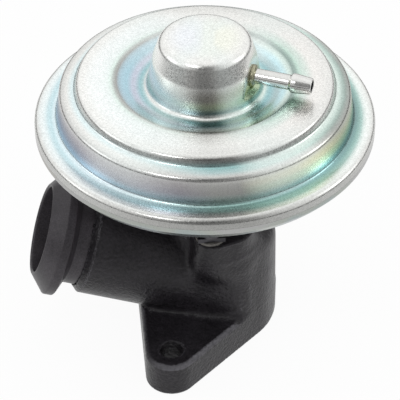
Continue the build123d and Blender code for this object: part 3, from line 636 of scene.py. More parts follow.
# ---------------------------------------------------------------- pressed cover
@dataclass
class Cover:
    """Upper shell of the vacuum capsule, pressed in rings round a dome with one flat."""

    film_depth: float = 1.5
    sheet: float = 1.0
    dome_top: float = 103.0
    dome_radius: float = 12.7
    waist: Pair = (15.0, 96.2)
    foot_radius: float = 16.6
    valley: Pair = (20.2, 87.0)
    plateau_inner: float = 25.6
    plateau_outer: float = 36.4
    plateau_height: float = 89.1
    ledge_inner: Pair = (37.4, 86.5)
    ledge_outer: Pair = (41.6, 85.8)
    groove: Pair = (42.8, 77.5)
    land: Pair = (44.8, 77.2)
    rim_radius: float = 49.1
    skirt_low: float = 74.15
    bends: tuple[float, ...] = (0.0, 2.8, 9.0, 1.5, 4.0, 0.9, 1.4, 0.8, 1.5, 1.0, 6.0, 1.6, 0.0)
    flat_distance: float = 14.0
    flat_foot: float = 88.6
    flat_full: float = 90.2
    flat_edge: float = 0.35
    flat_room: float = 2.0
    flat_reach: float = 0.6
    step: float = 0.42
    segments: int = 420

    def corners(self) -> list[Triple]:
        """Corners of the outer line from the dome's middle to the skirt, with their bends."""
        points = [
            (0.0, self.dome_top),
            (self.dome_radius, self.dome_top),
            self.waist,
            (self.foot_radius, self.valley[1]),
            self.valley,
            (self.plateau_inner, self.plateau_height),
            (self.plateau_outer, self.plateau_height),
            self.ledge_inner,
            self.ledge_outer,
            self.groove,
            self.land,
            (self.rim_radius, self.land[1]),
            (self.rim_radius, self.skirt_low),
        ]
        return [(*point, bend) for point, bend in zip(points, self.bends)]

    def press_flat(self, grid: Array) -> Array:
        """Flat for the nipple: x is held at the flat's distance by a soft minimum.

        The limit L(z) falls from past the foot to the flat's distance by a smooth step between the two
        heights. The soft minimum of x and L is their mean less half of sqrt((x - L)^2 + e^2).

        Args:
            grid: points of the revolved sheet, whose first half of the rows is its inner side.

        Returns:
            The pressed points.
        """
        x, z = grid[..., 0], grid[..., 2]
        rows = len(grid)
        depth = (np.arange(rows) < rows // 2)[:, None] * self.sheet
        fall = 1 - smooth(z, self.flat_foot, self.flat_full)
        limit = self.flat_distance - depth + fall * (self.foot_radius + self.flat_room - self.flat_distance)
        softened = 0.5 * (x + limit) - 0.5 * np.sqrt((x - limit) ** 2 + self.flat_edge**2)
        near = np.hypot(grid[..., 0], grid[..., 1]) < self.foot_radius + self.flat_reach
        weight = np.clip(x - limit + self.flat_room, 0.0, 1.0) * near
        pressed = grid.copy()
        pressed[..., 0] = x + weight * (softened - x)
        return pressed

    def outline(self) -> Array:
        """Closed line: the inner side from the axis out to the skirt, then the outer side back."""
        outer = rounded_line(self.corners(), self.step)
        inner = beside(outer, self.sheet)
        inner[0, 0] = 0.0
        inner[-1, 1] = self.skirt_low
        return np.concatenate([inner, outer[::-1]])

    def bands(self) -> tuple[tuple, ...]:
        """Film tints and painted reflections along the outer line: (place, colour in front, at the left, at the right).
        """
        outline = self.outline()
        along = arc_lengths(outline)
        half = len(outline) // 2
        outer, places = outline[half:], along[half:] / 100.0 * LINE_SCALE

        def at(radius: float, height: float) -> float:
            """Place of the outer point nearest to (radius, height)."""
            return float(places[np.argmin(np.hypot(outer[:, 0] - radius, outer[:, 1] - height))])

        def film(tone: float | Colour) -> Colour:
            """A grey level or a colour, with its tint deepened."""
            colour = np.array(tone if isinstance(tone, tuple) else (tone, tone, 0.98 * tone))
            middle = colour.mean()
            return tuple(np.clip(middle + self.film_depth * (colour - middle), 0.0, 1.0).tolist())

        teal, deep_teal = (0.40, 0.56, 0.58), (0.14, 0.20, 0.21)
        violet, pink = (0.27, 0.26, 0.32), (0.37, 0.35, 0.38)
        straw, leaf = (0.72, 0.73, 0.56), (0.50, 0.64, 0.48)
        cyan, mint = (0.68, 0.83, 0.86), (0.80, 0.88, 0.84)
        # Each ring: radius, height, then its tone in front, at the left and at the right; the grey levels and dark
        # rings are painted reflections, the hues the film's tints.
        rings = (
            (49.1, 75.5, 0.34, 0.50, 0.46),
            (48.6, 77.0, 0.40, 0.78, 0.80),
            (46.6, 77.2, 0.86, (0.92, 0.96, 0.96), (0.96, 0.99, 0.97)),
            (44.6, 77.3, (0.52, 0.68, 0.65), (0.66, 0.79, 0.82), (0.42, 0.56, 0.53)),
            (43.2, 77.6, (0.38, 0.51, 0.49), (0.86, 0.95, 0.98), (0.34, 0.49, 0.49)),
            (42.7, 78.6, (0.30, 0.35, 0.34), (0.40, 0.46, 0.56), teal),
            (42.3, 81.0, 0.28, violet, leaf),
            (42.0, 83.2, 0.32, pink, straw),
            (41.0, 85.8, 0.58, 0.70, 0.74),
            (39.2, 86.2, (0.46, 0.55, 0.55), 0.86, (0.66, 0.77, 0.73)),
            (37.7, 86.5, (0.38, 0.52, 0.52), (0.82, 0.91, 0.92), mint),
            (36.7, 88.3, 0.29, 0.74, 0.72),
            (35.4, 89.1, 0.76, 0.92, 0.84),
            (31.0, 89.1, 0.87, (0.97, 1.0, 0.99), (0.90, 0.89, 0.87)),
            (28.0, 89.1, 0.85, (0.92, 0.96, 0.95), (0.72, 0.79, 0.75)),
            (26.6, 89.1, 0.80, mint, (0.62, 0.74, 0.68)),
            (25.8, 89.0, 0.34, 0.40, (0.34, 0.40, 0.38)),
            (25.2, 88.9, 0.36, 0.42, (0.34, 0.40, 0.38)),
            (24.5, 88.6, 0.62, (0.54, 0.66, 0.72), mint),
            (22.4, 87.8, (0.44, 0.48, 0.48), (0.52, 0.66, 0.72), cyan),
            (20.4, 87.1, deep_teal, (0.64, 0.66, 0.73), (0.50, 0.59, 0.60)),
            (18.2, 87.0, deep_teal, teal, teal),
            (17.1, 87.1, 0.80, 0.86, mint),
            (16.4, 88.2, (0.36, 0.40, 0.39), (0.52, 0.60, 0.60), (0.40, 0.50, 0.46)),
            (16.0, 90.4, (0.45, 0.47, 0.38), (0.70, 0.76, 0.72), (0.53, 0.61, 0.45)),
            (15.6, 92.6, (0.40, 0.39, 0.37), (0.90, 0.90, 0.89), (0.72, 0.72, 0.62)),
            (14.9, 96.5, 0.44, 0.99, 0.82),
            (13.6, 100.6, 0.48, 0.99, 0.82),
            (12.2, 102.8, 0.84, 0.88, 0.88),
            (6.0, 103.0, (0.88, 0.91, 0.88), (0.90, 0.92, 0.94), (0.91, 0.92, 0.86)),
        )
        return tuple((at(radius, height), *map(film, tones)) for radius, height, *tones in rings)

    def build(self) -> None:
        """The pressed cover."""
        mesh = lathe("cover_shell", self.outline(), self.segments, shape=self.press_flat)
        dress(mesh, BandedZinc("banded_zinc", self.bands()), "plated_shell", Body.HOUSING, "upper_cover")


# ---------------------------------------------------------------- nipple and its braze
@dataclass
class Nipple:
    """Hose nipple with one barb, and the ring of braze round its root."""

    bore: float = 1.4
    tube: float = 2.2
    barb: float = 2.8
    tip: float = 2.3
    mouth: float = 1.85
    root: float = 11.8
    barb_start: float = 25.8
    barb_land: float = 1.2
    end: float = 31.5
    flat: float = 14.0
    braze_radius: float = 3.15
    braze_length: float = 1.3
    braze_gap: float = 0.01
    braze_brow: float = 0.55

    def tube_line(self) -> Array:
        """Closed line of the tube: outside from root to tip, then the bore back."""
        outside = [
            (self.bore, self.root, 0.0),
            (self.tube, self.root, 0.1),
            (self.tube, self.barb_start - 0.8, 0.25),
            (self.barb, self.barb_start, 0.25),
            (self.barb, self.barb_start + self.barb_land, 0.8),
            (self.tip, self.end, 0.28),
            (self.mouth, self.end, 0.12),
            (self.bore, self.end - 1.6, 0.3),
            (self.bore, self.root + 0.5, 0.0),
        ]
        return rounded_line(outside, 0.2)

    def braze_line(self) -> Array:
        """Closed line of the braze: a low ring whose face hollows towards the tube."""
        inner = self.tube + self.braze_gap
        return rounded_line(
            [
                (inner, self.flat, 0.0),
                (self.braze_radius, self.flat, 0.12),
                (self.braze_radius, self.flat + 0.6 * self.braze_length, 0.3),
                (self.tube + self.braze_brow, self.flat + 0.8 * self.braze_length, 0.4),
                (inner, self.flat + self.braze_length, 0.0),
            ],
            0.15,
        )

    def build(self) -> None:
        """The tube and its braze."""
        plated = Metal("nipple_plate", (0.70, 0.70, 0.68), (0.80, 0.80, 0.78), roughness=0.16, grain_depth=0.004,
                       dark_bore=self.mouth)
        dress(lathe("hose_nipple", self.tube_line(), 96, True, Axis.NIPPLE), plated, "plated_nipple",
              Body.HOUSING, "vacuum_nipple")
        brass = Metal("braze", (0.40, 0.39, 0.28), (0.58, 0.57, 0.44), roughness=0.32, grain_depth=0.012)
        dress(lathe("braze_ring", self.braze_line(), 72, True, Axis.NIPPLE), brass, "braze",
              Body.HOUSING, "nipple_collar")


# ---------------------------------------------------------------- clamp adapter
@dataclass
class Adapter:
    """Turned clamp flange in the side inlet's mouth."""

    bore: float = 13.0
    mouth: float = 13.7
    neck: float = 14.4
    flange: float = 19.0
    reach: float = 51.7
    front_cone: float = 4.4
    land: float = 2.5
    rear_cone: float = 2.2
    spigot_end: float = 27.41
    chamfer: float = 0.3
    mouth_depth: float = 0.5

    def outline(self) -> Array:
        """Closed line: the bore from the mouth inwards, the spigot, and the flange's two cones."""
        land_top = self.reach - self.front_cone
        land_low = land_top - self.land
        return rounded_line(
            [
                (self.bore, self.spigot_end + self.chamfer, 0.0),
                (self.bore + self.chamfer, self.spigot_end, 0.1),
                (self.neck, self.spigot_end, 0.1),
                (self.neck, land_low - self.rear_cone, 0.9),
                (self.flange, land_low, 0.45),
                (self.flange, land_top, 0.45),
                (self.mouth, self.reach, 0.3),
                (self.bore, self.reach - self.mouth_depth, 0.3),
                (self.bore, self.spigot_end + 2 * self.chamfer, 0.0),
            ],
            0.5,
        )

    def build(self) -> None:
        """The adapter."""
        coat = CastCoat("adapter_coat", (0.036, 0.032, 0.037), roughness=0.40, pit_depth=0.018, grain=2200.0)
        dress(lathe("clamp_adapter", self.outline(), 192, True, Axis.INLET), coat, "adapter_paint",
              Body.HOUSING, "inlet_adapter")


# ---------------------------------------------------------------- cast body
def beyond(first: Array, second: Array) -> Array:
    """Length of a vector of which only the parts above zero count."""
    return np.hypot(np.maximum(first, 0.0), np.maximum(second, 0.0))


def soft_union(first: Array, second: Array, radius: float) -> Array:
    """Lower of two distances, with a concave fillet where both are nearly the same."""
    share = np.maximum(radius - np.abs(first - second), 0.0) / radius
    return np.minimum(first, second) - share * share * radius / 4


def soft_cut(first: Array, second: Array, radius: float) -> Array:
    """Higher of two distances, with a convex round of about this radius where they meet."""
    corner = beyond(first + radius, second + radius) - radius
    return np.minimum(np.maximum(first, second), -radius) + corner + radius


@dataclass
class Casting:
    """Cast body: a two-bolt flange, a round column, the inlet's elbow, a neck and three screw bosses.

    Its parts run into each other by fillets, which no grid of two parameters gives, so it is the
    surface where a distance field is zero, drawn with one vertex in each cell that it crosses.
    """

    flange_top: float = 11.2
    flange_middle: float = 21.4
    flange_shift: float = 2.4
    column: Pair = (13.55, 13.75)
    column_corner: float = 10.5
    column_place: Pair = (8.55, 0.35)
    column_top: float = 36.0
    column_shoulder: float = 7.0
    web: float = 9.4
    web_place: Pair = (8.3, -7.8)
    web_side: float = -3.1
    web_fillet: float = 5.0
    side_round: float = 1.5
    web_taper: float = 0.45
    web_low: float = 36.0
    bump: float = 6.6
    bump_place: Triple = (6.0, -11.3, 31.8)
    web_turn: float = 18.0
    crease: float = 1.3
    neck: float = 11.5
    top: float = 43.0
    foot_room: float = 24.0
    top_plate: float = 14.4
    top_plate_low: float = 39.5
    lobe: float = 7.8
    bolt: float = 32.0
    bolt_hole: float = 3.4
    tube: float = 16.5
    tube_end: float = 38.9
    tube_chamfer: float = 1.8
    passage: float = 12.5
    passage_start: float = 3.0
    spigot_bore: float = 14.41
    spigot_end: float = 27.4
    boss: float = 4.8
    boss_circle: float = 16.0
    boss_angles: tuple[float, ...] = (-66.0, 54.0, 174.0)
    boss_low: float = 27.0
    boss_root: float = 14.0
    boss_lean: float = 0.7
    screw_hole: float = 2.02
    screw_low: float = 34.0
    seat_bore: float = 11.61
    seat_top: float = 9.0
    seat_shoulder: float = 11.1
    chamber: float = 11.9
    chamber_floor: float = 10.5
    chamber_side_top: float = 23.0
    chamber_roof: float = 30.0
    guide_boss: float = 8.4
    guide_boss_low: float = 27.0
    guide_bore: float = 6.01
    pocket: float = 9.0
    pocket_floor: float = 38.0
    flange_round: float = 1.4
    foot_round: float = 0.6
    column_fillet: float = 3.0
    tube_fillet: float = 4.0
    neck_fillet: float = 2.5
    boss_fillet: float = 3.4
    boss_end: float = 3.0
    draft: float = 0.025
    plate_round: float = 0.8
    bracket_round: float = 0.35
    bore_round: float = 0.3
    roof_inset: float = 1.5
    overlap: float = 1.0
    cell: float = 0.62
    box: tuple[Pair, ...] = ((-42.9, 22.8), (-40.8, 41.4), (-0.83, 47.2))
    slope_reach: float = 0.02
    bend_reach: float = 0.4

    def flange_outline(self, x: Array, y: Array) -> Array:
        """Distance to the flange's outline: its middle circle and two lobes, joined by tangents."""
        ax, ay = np.abs(x), np.abs(y - self.flange_shift)
        reach = np.where(y < self.flange_shift, self.bolt + self.flange_shift, self.bolt - self.flange_shift)
        slope = (self.flange_middle - self.lobe) / reach
        lean = np.sqrt(1 - slope * slope)
        side = -slope * ax + lean * ay
        middle = np.hypot(ax, ay) - self.flange_middle
        lobe = np.hypot(ax, ay - reach) - self.lobe
        straight = lean * ax + slope * ay - self.flange_middle
        return np.where(side < 0, middle, np.where(side > lean * reach, lobe, straight))

    def off_boss(self, angle: float, x: Array, y: Array) -> Array:
        """Distance from the axis of the screw boss at an angle."""
        place = math.radians(angle)
        return np.hypot(x - self.boss_circle * math.cos(place), y - self.boss_circle * math.sin(place))

    def solid(self, x: Array, y: Array, z: Array) -> Array:
        """Distance to the casting's outer form, before its bores."""
        round_xy = np.hypot(x, y)
        past_x = np.abs(x - self.column_place[0]) - self.column[0] + self.column_corner
        past_y = np.abs(y - self.column_place[1]) - self.column[1] + self.column_corner
        past_side = beyond(past_x, past_y) - self.column_corner + self.column_shoulder
        past_shoulder = z - self.column_top + self.column_shoulder
        column = beyond(past_side, past_shoulder) - self.column_shoulder
        outline = self.flange_outline(x, y)
        wall = outline + self.draft * np.maximum(z - self.flange_top, 0.0)
        footing = soft_union(z - self.flange_top, column, self.column_fillet)
        flange = soft_cut(wall, footing, self.flange_round)
        column = soft_cut(column, wall, self.side_round)
        along, off_axis = self.inlet(x, y, z)
        elbow = np.where(along < 0, np.hypot(along, off_axis), off_axis) - self.tube
        past_end = along - self.tube_end
        elbow = np.maximum.reduce([elbow, past_end, (elbow + past_end + self.tube_chamfer) / math.sqrt(2)])
        neck = np.maximum(round_xy - self.neck, INLET_AXIS_HEIGHT - z)
        plate = soft_cut(round_xy - self.top_plate, self.top_plate_low - z, self.plate_round)
        place = math.radians(self.web_turn)
        sideways = self.web_side - (x * math.cos(place) + y * math.sin(place))
        web = np.hypot(x - self.web_place[0], y - self.web_place[1]) - self.web
        web = (web + self.web_taper * np.maximum(self.web_low - z, 0.0)) / math.hypot(1, self.web_taper)
        off_bump = [value - middle for value, middle in zip((x, y, z), self.bump_place)]
        bump = np.sqrt(sum(off**2 for off in off_bump)) - self.bump
        web = soft_cut(soft_union(web, bump, self.web_fillet), sideways, self.crease)
        body = soft_union(soft_union(column, web, self.web_fillet), elbow, self.tube_fillet)
        body = soft_union(body, neck, self.neck_fillet)
        body = soft_union(body, plate, self.neck_fillet)
        for angle in self.boss_angles:
            place = math.radians(angle)
            outward = x * math.cos(place) + y * math.sin(place) - self.boss_root
            under = (outward - self.boss_lean * (z - self.boss_low)) / math.hypot(1, self.boss_lean)
            boss = soft_cut(self.off_boss(angle, x, y) - self.boss, under, self.boss_end)
            body = soft_union(body, boss, self.boss_fillet)
        inset = np.maximum(outline + self.column_fillet, z - self.flange_top)
        body = np.minimum(soft_union(body, inset, self.column_fillet), flange)
        bracket_room = np.minimum(z - self.top, self.foot_room - round_xy)
        return soft_cut(soft_cut(body, bracket_room, self.bracket_round), -z, self.foot_round)

    def inlet(self, x: Array, y: Array, z: Array) -> tuple[Array, Array]:
        """Distance along the inlet's axis, and from it."""
        origin, directions = axis_frame(Axis.INLET)
        ax, ay, az = directions[:, 2]
        dz = z - origin[2]
        along = x * ax + y * ay + dz * az
        return along, np.sqrt(np.maximum(x * x + y * y + dz * dz - along * along, 0.0))

    def hollows(self, x: Array, y: Array, z: Array) -> Array:
        """Distance to the bores: seat, chamber, inlet passage, guide, seal pocket, screws and bolts."""
        across = np.hypot(x, y)
        along, off_axis = self.inlet(x, y, z)
        slope = math.atan2(self.chamber_roof - self.chamber_side_top, self.chamber - self.guide_boss - self.roof_inset)
        roof = (across - self.chamber) * math.sin(slope) + (z - self.chamber_side_top) * math.cos(slope)
        floor = (across - self.seat_shoulder - z + self.chamber_floor) / math.sqrt(2)
        chamber = np.maximum.reduce([across - self.chamber, self.chamber_floor - z, z - self.chamber_roof, roof, floor])
        passage = np.maximum(off_axis - self.passage, self.passage_start - along)
        guide_neck = np.maximum(across - self.guide_boss, self.guide_boss_low - z)
        bores = [
            np.maximum(np.minimum(chamber, passage), -guide_neck),
            np.maximum(across - self.seat_bore, z - self.seat_top),
            np.maximum(across - self.seat_shoulder, z - self.chamber_floor - self.overlap),
            np.maximum(off_axis - self.spigot_bore, self.spigot_end - along),
            np.maximum(across - self.guide_bore, self.guide_boss_low - self.overlap - z),
            np.maximum(across - self.pocket, self.pocket_floor - z),
            np.hypot(x, np.abs(y) - self.bolt) - self.bolt_hole,
        ]
        for angle in self.boss_angles:
            bores.append(np.maximum(self.off_boss(angle, x, y) - self.screw_hole, self.screw_low - z))
        return np.minimum.reduce(bores)

    def distance(self, x: Array, y: Array, z: Array) -> Array:
        """Distance field of the whole casting: below zero inside the metal."""
        return soft_cut(self.solid(x, y, z), -self.hollows(x, y, z), self.bore_round)

    def either_side(self, points: Array, reach: float) -> list[tuple[Array, Array]]:
        """The field ahead of the points and behind them, for each of the three directions."""
        steps = reach * np.eye(3)
        return [(self.distance(*(points + step).T), self.distance(*(points - step).T)) for step in steps]

    def slope(self, points: Array) -> Array:
        """The field's gradient at points, by central differences."""
        sides = self.either_side(points, self.slope_reach)
        return np.stack([ahead - behind for ahead, behind in sides], axis=1) / (2 * self.slope_reach)

    def bend(self, points: Array) -> Array:
        """How sharply the surface bends: above zero on rounded edges, below zero in coves."""
        total = -6 * self.distance(*points.T)
        for ahead, behind in self.either_side(points, self.bend_reach):
            total += ahead + behind
        return total / self.bend_reach**2

    def surface(self) -> tuple[Array, Array]:
        """Vertices and quads where the field is zero.

        Every cell whose corners differ in sign gets one vertex at the mean of its edges' crossings, and
        every grid edge that crosses gets the quad of its four cells. The vertices then step twice along
        the gradient onto the surface.
        """
        axes = [np.arange(low, high, self.cell) for low, high in self.box]
        field = self.distance(*np.meshgrid(*axes, indexing="ij"))
        inside = field < 0
        cells = tuple(n - 1 for n in field.shape)
        sums, counts = np.zeros((*cells, 3)), np.zeros(cells)
        for axis, first, second in itertools.product(range(3), (0, 1), (0, 1)):
            start = np.insert([first, second], axis, 0)
            end = np.insert([first, second], axis, 1)
            a, b = (tuple(slice(s, s + n) for s, n in zip(corner, cells)) for corner in (start, end))
            crossing = inside[a] != inside[b]
            share = np.divide(field[a], field[a] - field[b], out=np.zeros(cells), where=crossing)
            place = np.zeros((*cells, 3)) + start
            place[..., axis] += share
            sums += place * crossing[..., None]
            counts += crossing
        used = counts > 0
        number = np.full(cells, -1)
        number[used] = np.arange(used.sum())
        origin = np.array([axis[0] for axis in axes])
        points = origin + (np.stack(np.nonzero(used), axis=1) + sums[used] / counts[used][:, None]) * self.cell
        quads = []
        for axis in range(3):
            near, far = [slice(1, -1)] * 3, [slice(1, -1)] * 3
            near[axis], far[axis] = slice(0, -1), slice(1, None)
            here, there = inside[tuple(near)], inside[tuple(far)]
            for mask, forward in ((here & ~there, axis != 1), (~here & there, axis == 1)):
                spot = np.stack(np.nonzero(mask), axis=1)
                steps = [np.insert(step, axis, 0) for step in ((0, 0), (1, 0), (1, 1), (0, 1))]
                ring = [number[tuple((spot + step).T)] for step in steps]
                quads.append(np.stack(ring if forward else ring[::-1], axis=1))
        for _ in range(2):
            gradient = self.slope(points)
            steepness = np.maximum((gradient**2).sum(axis=1), 0.25)
            move = (self.distance(*points.T) / steepness)[:, None] * gradient
            points = points - np.clip(move, -0.5 * self.cell, 0.5 * self.cell)
        points[:, 2] = np.maximum(points[:, 2], 0.0)
        return points, np.concatenate(quads)

    def build(self) -> None:
        """The casting, with normals from its field."""
        points, quads = self.surface()
        mesh = write_mesh("cast_body", points, quads)
        gradient = self.slope(points)
        gradient /= np.maximum(np.linalg.norm(gradient, axis=1), 1e-6)[:, None]
        mesh.normals_split_custom_set_from_vertices(gradient.tolist())
        mesh.attributes.new("bend", "FLOAT", "POINT").data.foreach_set("value", self.bend(points))
        dress(mesh, CastCoat("cast_coat"), "body_casting", Body.HOUSING, "valve_body")


# ---------------------------------------------------------------- spring and diaphragm
@dataclass
class Spring:
    """Coil spring with closed, ground ends, squeezed as the valve opens."""

    low: float = 68.11
    high: float = 100.95
    mean: float = 9.8
    wire: float = 1.1
    turns: float = 7.5
    end_turns: float = 0.7
    end_pitch: float = 2.05
    end_sink: float = 0.45
    bow: float = 0.05
    steps: int = 560
    sides: int = 20

    def build(self) -> None:
        """Tube of the wire's radius round a helix.

        The helix climbs one wire's thickness in each end turn and evenly between them, by a soft ramp.
        Height is held between the two ground ends, which makes them flat.
        """
        turn = np.linspace(0.0, 1.0, self.steps) * self.turns
        active = np.clip((turn - self.end_turns) / (self.turns - 2 * self.end_turns), 0.0, 1.0)
        active = active - self.bow * np.sin(2 * math.pi * active) / (2 * math.pi)
        closed = self.end_pitch * self.wire
        low_end, high_end = self.low + self.wire * self.end_sink, self.high - self.wire * self.end_sink
        climb = high_end - low_end - 2 * self.end_turns * closed
        ends = np.minimum(turn, self.end_turns) + np.maximum(turn - self.turns + self.end_turns, 0.0)
        height = low_end + closed * ends + climb * active
        angle = 2 * math.pi * turn
        out = np.stack([np.cos(angle), np.sin(angle), 0 * angle], axis=1)
        centre = self.mean * out + np.outer(height, [0, 0, 1])
        along = np.gradient(centre, axis=0)
        along /= np.linalg.norm(along, axis=1)[:, None]
        up = np.cross(along, out)
        out = np.cross(up, along)
        swing = np.linspace(0.0, 2 * math.pi, self.sides, endpoint=False)[None, :, None]
        tube = centre[:, None] + self.wire * (np.cos(swing) * out[:, None] + np.sin(swing) * up[:, None])
        points = tube.reshape(-1, 3)
        points[:, 2] = np.clip(points[:, 2], self.low, self.high)
        index = np.arange(self.steps * self.sides).reshape(self.steps, self.sides)
        near, far = index[:-1], index[1:]
        quads = np.stack([near, far, np.roll(far, -1, axis=1), np.roll(near, -1, axis=1)], axis=-1).reshape(-1, 4)
        points = np.concatenate([points, [tube[0].mean(axis=0)], [tube[-1].mean(axis=0)]])
        first, last = index[0], index[-1]
        start = np.stack([np.full(self.sides, len(points) - 2), first, np.roll(first, -1)], axis=1)
        end = np.stack([np.full(self.sides, len(points) - 1), np.roll(last, -1), last], axis=1)
        mesh = write_mesh("coil_spring", points, quads, np.concatenate([start, end]))
        mesh.set_sharp_from_angle(angle=SMOOTH_ANGLE)
        wire = Metal("spring_steel", (0.30, 0.29, 0.28), (0.44, 0.43, 0.41), roughness=0.34)
        piece = dress(mesh, wire, "spring_wire", None, "return_spring")
        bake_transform(piece)


@dataclass
class Diaphragm:
    """Rubber diaphragm with one roll, clamped at its bead and carried at its middle."""

    hole: float = 3.2
    web_top: float = 66.02
    wall: float = 33.3
    crest: Pair = (34.2, 74.8)
    dip: Pair = (38.6, 72.0)
    outer: Pair = (41.8, 76.12)
    edge: float = 47.6
    thickness: float = 1.0
    bend: float = 1.3

    def build(self) -> None:
        """The diaphragm's sheet, revolved from its bent line and its parallel below."""
        top = rounded_line(
            [
                (self.edge, self.outer[1], 0.0),
                (*self.outer, self.bend),
                (*self.dip, self.bend),
                (*self.crest, self.bend),
                (self.wall, self.web_top, 1.6),
                (self.hole, self.web_top, 0.0),
            ],
            0.6,
        )
        below = beside(top, -self.thickness)
        mesh = lathe("rubber_diaphragm", np.concatenate([top, below[::-1]]), 160, closed=True)
        rubber = Filler("black_rubber", (0.012, 0.012, 0.012), (0.03, 0.03, 0.03), roughness=0.62)
        piece = dress(mesh, rubber, "diaphragm_rubber", None, "diaphragm")
        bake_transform(piece)


# ---------------------------------------------------------------- nodes that keep their own solids
def dress_nodes() -> None:
    """Give each visible node of the frame its own finish."""
    # Zinc at about half the brightness of the inner zinc: painted shade for the lower housing under the cover.
    plate = Zinc("plain_zinc", brightness=0.34, tint=0.16)
    bolt = Metal("fastener_plate", (0.58, 0.58, 0.56), (0.74, 0.74, 0.72), roughness=0.26)
    # Near-black screws and washers: partly a dark finish, partly painted shade under the cover's rim.
    black = Metal("black_screws", (0.05, 0.049, 0.053), (0.10, 0.098, 0.104), roughness=0.42)
    steel = Metal("heat_steel", (0.34, 0.31, 0.28), (0.50, 0.47, 0.43), roughness=0.36)
    finishes = {
        "lower_housing": plate,
        # Near-black bracket: partly a dark finish, partly painted shade under the cover's rim.
        "standoff_bracket": Metal("dark_bracket_metal", (0.045, 0.044, 0.048), (0.085, 0.083, 0.090), roughness=0.45),
        "lock_washers": black,
        "bracket_screws": black,
        "housing_rivets": bolt,
        "stem_nut": bolt,
        "nut_washer": bolt,
        "diaphragm_plate": Zinc("inner_zinc", brightness=0.70, tint=0.5),
        "diaphragm_cup": Zinc("cup_zinc", brightness=0.70, tint=0.5),
        "spring_locator": Zinc("locator_zinc", brightness=0.72, tint=0.4),
        "spring_seat": Zinc("seat_zinc", brightness=0.72, tint=0.4),
        "valve_seat": steel,
        "valve_head": steel,
        "valve_stem": Metal("stem_steel", (0.46, 0.45, 0.44), (0.62, 0.61, 0.60), roughness=0.22),
        "stem_guide": Metal("guide_bronze", (0.36, 0.22, 0.11), (0.52, 0.34, 0.18), roughness=0.34),
        "stem_seal": Filler("graphite", (0.03, 0.03, 0.032), (0.07, 0.07, 0.075), roughness=0.5),
        "seal_retainer": bolt,
        "bracket_gasket": Filler("gasket_board", (0.10, 0.095, 0.09), (0.19, 0.18, 0.165), roughness=0.85),
    }
    made: dict[str, bpy.types.Material] = {}
    for name, finish in finishes.items():
        if finish.name not in made:
            made[finish.name] = finish.material()
        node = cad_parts[name]
        node.data.materials.clear()
        node.data.materials.append(made[finish.name])
        log.info("%s: %s", name, finish.name)


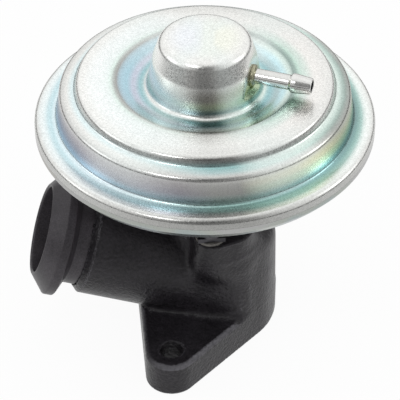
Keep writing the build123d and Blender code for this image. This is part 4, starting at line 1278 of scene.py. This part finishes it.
# ---------------------------------------------------------------- studio
@dataclass
class Studio:
    """Pale floor, white surround, soft lamps and the camera.

    Each lamp is (name, place in metres, size in metres, power in watts).
    """

    azimuth: float = 18.0
    elevation: float = 40.0
    distance: float = 600.0
    target: Triple = (-1.33, -0.43, 43.7)
    lens: float = 180.7
    sensor: float = 36.0
    clip: Pair = (0.01, 100.0)
    floor_size: float = 6000.0
    floor_level: float = -0.3
    floor_tone: float = 0.92
    floor_glow: float = 0.94
    matt_level: float = 0.85
    card_radius: float = 520.0
    card_low: float = 0.5
    flag_width: float = 33.0
    flag_depth: float = 0.88
    flag_rise: Pair = (6.0, 22.0)
    flag_fall: Pair = (52.0, 76.0)
    horizon_rise: Pair = (6.0, 15.0)
    horizon_depth: float = 0.85
    lamps: tuple[tuple, ...] = (
        ("top_box", (-0.09, 0.12, 0.42), 0.32, 0.04),
        ("left_box", (-0.34, -0.17, 0.22), 0.15, 0.06),
        ("key_box", (-0.06, -0.25, 0.36), 0.08, 0.14),
        ("right_box", (0.37, 0.12, 0.27), 0.10, 0.12),
    )

    def aimed(self, name: str, data: bpy.types.ID, place: Triple | Array) -> bpy.types.Object:
        """Camera or lamp at a place in metres, aimed at the target."""
        made = add_object(name, data)
        made.location = place
        made.rotation_euler = (Vector(np.array(self.target) * MM) - made.location).to_track_quat("-Z", "Y").to_euler()
        return made

    def camera(self) -> None:
        """The camera."""
        data = bpy.data.cameras.new("camera")
        data.lens, data.sensor_width = self.lens, self.sensor
        data.clip_start, data.clip_end = self.clip
        azimuth, elevation = math.radians(self.azimuth), math.radians(self.elevation)
        flat = math.cos(elevation)
        toward = np.array([flat * math.sin(azimuth), -flat * math.cos(azimuth), math.sin(elevation)])
        place = (np.array(self.target) + self.distance * toward) * MM
        bpy.context.scene.camera = self.aimed("camera", data, place)

    def floor(self) -> None:
        """A plain pale floor that shows as white, and still takes the object's shadow."""
        square = np.array([[-1, -1], [1, -1], [1, 1], [-1, 1]]) * self.floor_size / 2
        mesh = write_mesh("floor", np.insert(square, 2, self.floor_level, axis=1), np.array([[0, 1, 2, 3]]))
        g = Nodes(bpy.data.materials.new("pale_floor"))
        rays = g.node("LightPath").outputs
        seen = g.math("MAXIMUM", rays["Is Camera Ray"], rays["Is Glossy Ray"])
        matte = g.node("BsdfDiffuse", {"Color": (*(self.floor_tone,) * 3, 1.0)}).outputs[0]
        glow = g.node("Emission", {"Color": WHITE}).outputs[0]
        blend = g.node("MixShader", {0: g.math("MULTIPLY", seen, self.floor_glow), 1: matte, 2: glow})
        g.node("OutputMaterial", {"Surface": blend.outputs[0]})
        mesh.materials.append(g.owner)
        made = add_object("floor", mesh)

    def surround(self) -> None:
        """White surround, which lights the matt surfaces at a lower level."""
        world = bpy.data.worlds.new("surround")
        bpy.context.scene.world = world
        g = Nodes(world)
        rays = g.node("LightPath").outputs
        seen = g.math("MAXIMUM", rays["Is Camera Ray"], rays["Is Glossy Ray"])
        seen = g.math("MAXIMUM", seen, rays["Is Transmission Ray"])
        back = g.node("Background", {"Color": WHITE, "Strength": g.spread(seen, 0.0, 1.0, self.matt_level, 1.0)})
        g.node("OutputWorld", {"Surface": back.outputs[0]})

    def reflected(self, azimuth: Array, elevation: Array) -> Array:
        """Brightness of the studio that shiny metal shows, by direction in degrees.

        White all round, with a dark flag on the camera's side and a dim band above the horizon.
        """
        off = (azimuth - self.azimuth + 180.0) % 360.0 - 180.0
        band = smooth(elevation, *self.flag_rise) * (1 - smooth(elevation, *self.flag_fall))
        flag = np.exp(-((off / self.flag_width) ** 2)) * band
        horizon = 1 - smooth(elevation, *self.horizon_rise)
        return (1 - self.flag_depth * flag) * (1 - self.horizon_depth * horizon)

    def surround_card(self) -> None:
        """Dome that only shiny surfaces see, so that bright metal has something to show."""
        azimuth, elevation = np.meshgrid(np.linspace(0.0, 360.0, 181), np.linspace(-6.0, 90.0, 97), indexing="ij")
        flat = np.cos(np.radians(elevation))
        shell = [flat * np.sin(np.radians(azimuth)), -flat * np.cos(np.radians(azimuth)), np.sin(np.radians(elevation))]
        points = (self.card_radius * np.stack(shell, axis=-1) + np.array(self.target)).reshape(-1, 3)
        points[:, 2] = np.maximum(points[:, 2], self.card_low)
        index = np.arange(azimuth.size).reshape(azimuth.shape)
        quads = np.stack([index[:-1, :-1], index[1:, :-1], index[1:, 1:], index[:-1, 1:]], axis=-1).reshape(-1, 4)
        mesh = write_mesh("reflected_studio", points, quads)
        tones = np.ones((azimuth.size, 4))
        tones[:, :3] = self.reflected(azimuth, elevation).reshape(-1, 1)
        mesh.attributes.new("tone", "FLOAT_COLOR", "POINT").data.foreach_set("color", tones.ravel())
        g = Nodes(bpy.data.materials.new("reflected_studio"))
        glow = g.node("Emission", {"Color": g.attribute("tone")["Color"]})
        g.node("OutputMaterial", {"Surface": glow.outputs[0]})
        mesh.materials.append(g.owner)
        made = add_object("reflected_studio", mesh)
        made.visible_camera = made.visible_diffuse = made.visible_shadow = made.visible_transmission = False

    def build(self) -> None:
        """The whole studio."""
        self.camera()
        self.floor()
        self.surround()
        self.surround_card()
        for name, place, size, power in self.lamps:
            data = bpy.data.lights.new(name, "AREA")
            data.size, data.energy = size, power
            self.aimed(name, data, place)
        bpy.context.scene.view_settings.view_transform = "Standard"


def main() -> None:
    """Build every sub-assembly, dress the frame's own nodes, and light the set."""
    logging.basicConfig(level=logging.INFO, format="%(message)s")
    Cover().build()
    Nipple().build()
    Adapter().build()
    Casting().build()
    Spring().build()
    Diaphragm().build()
    dress_nodes()
    Studio().build()


if __name__ == "__main__":
    main()
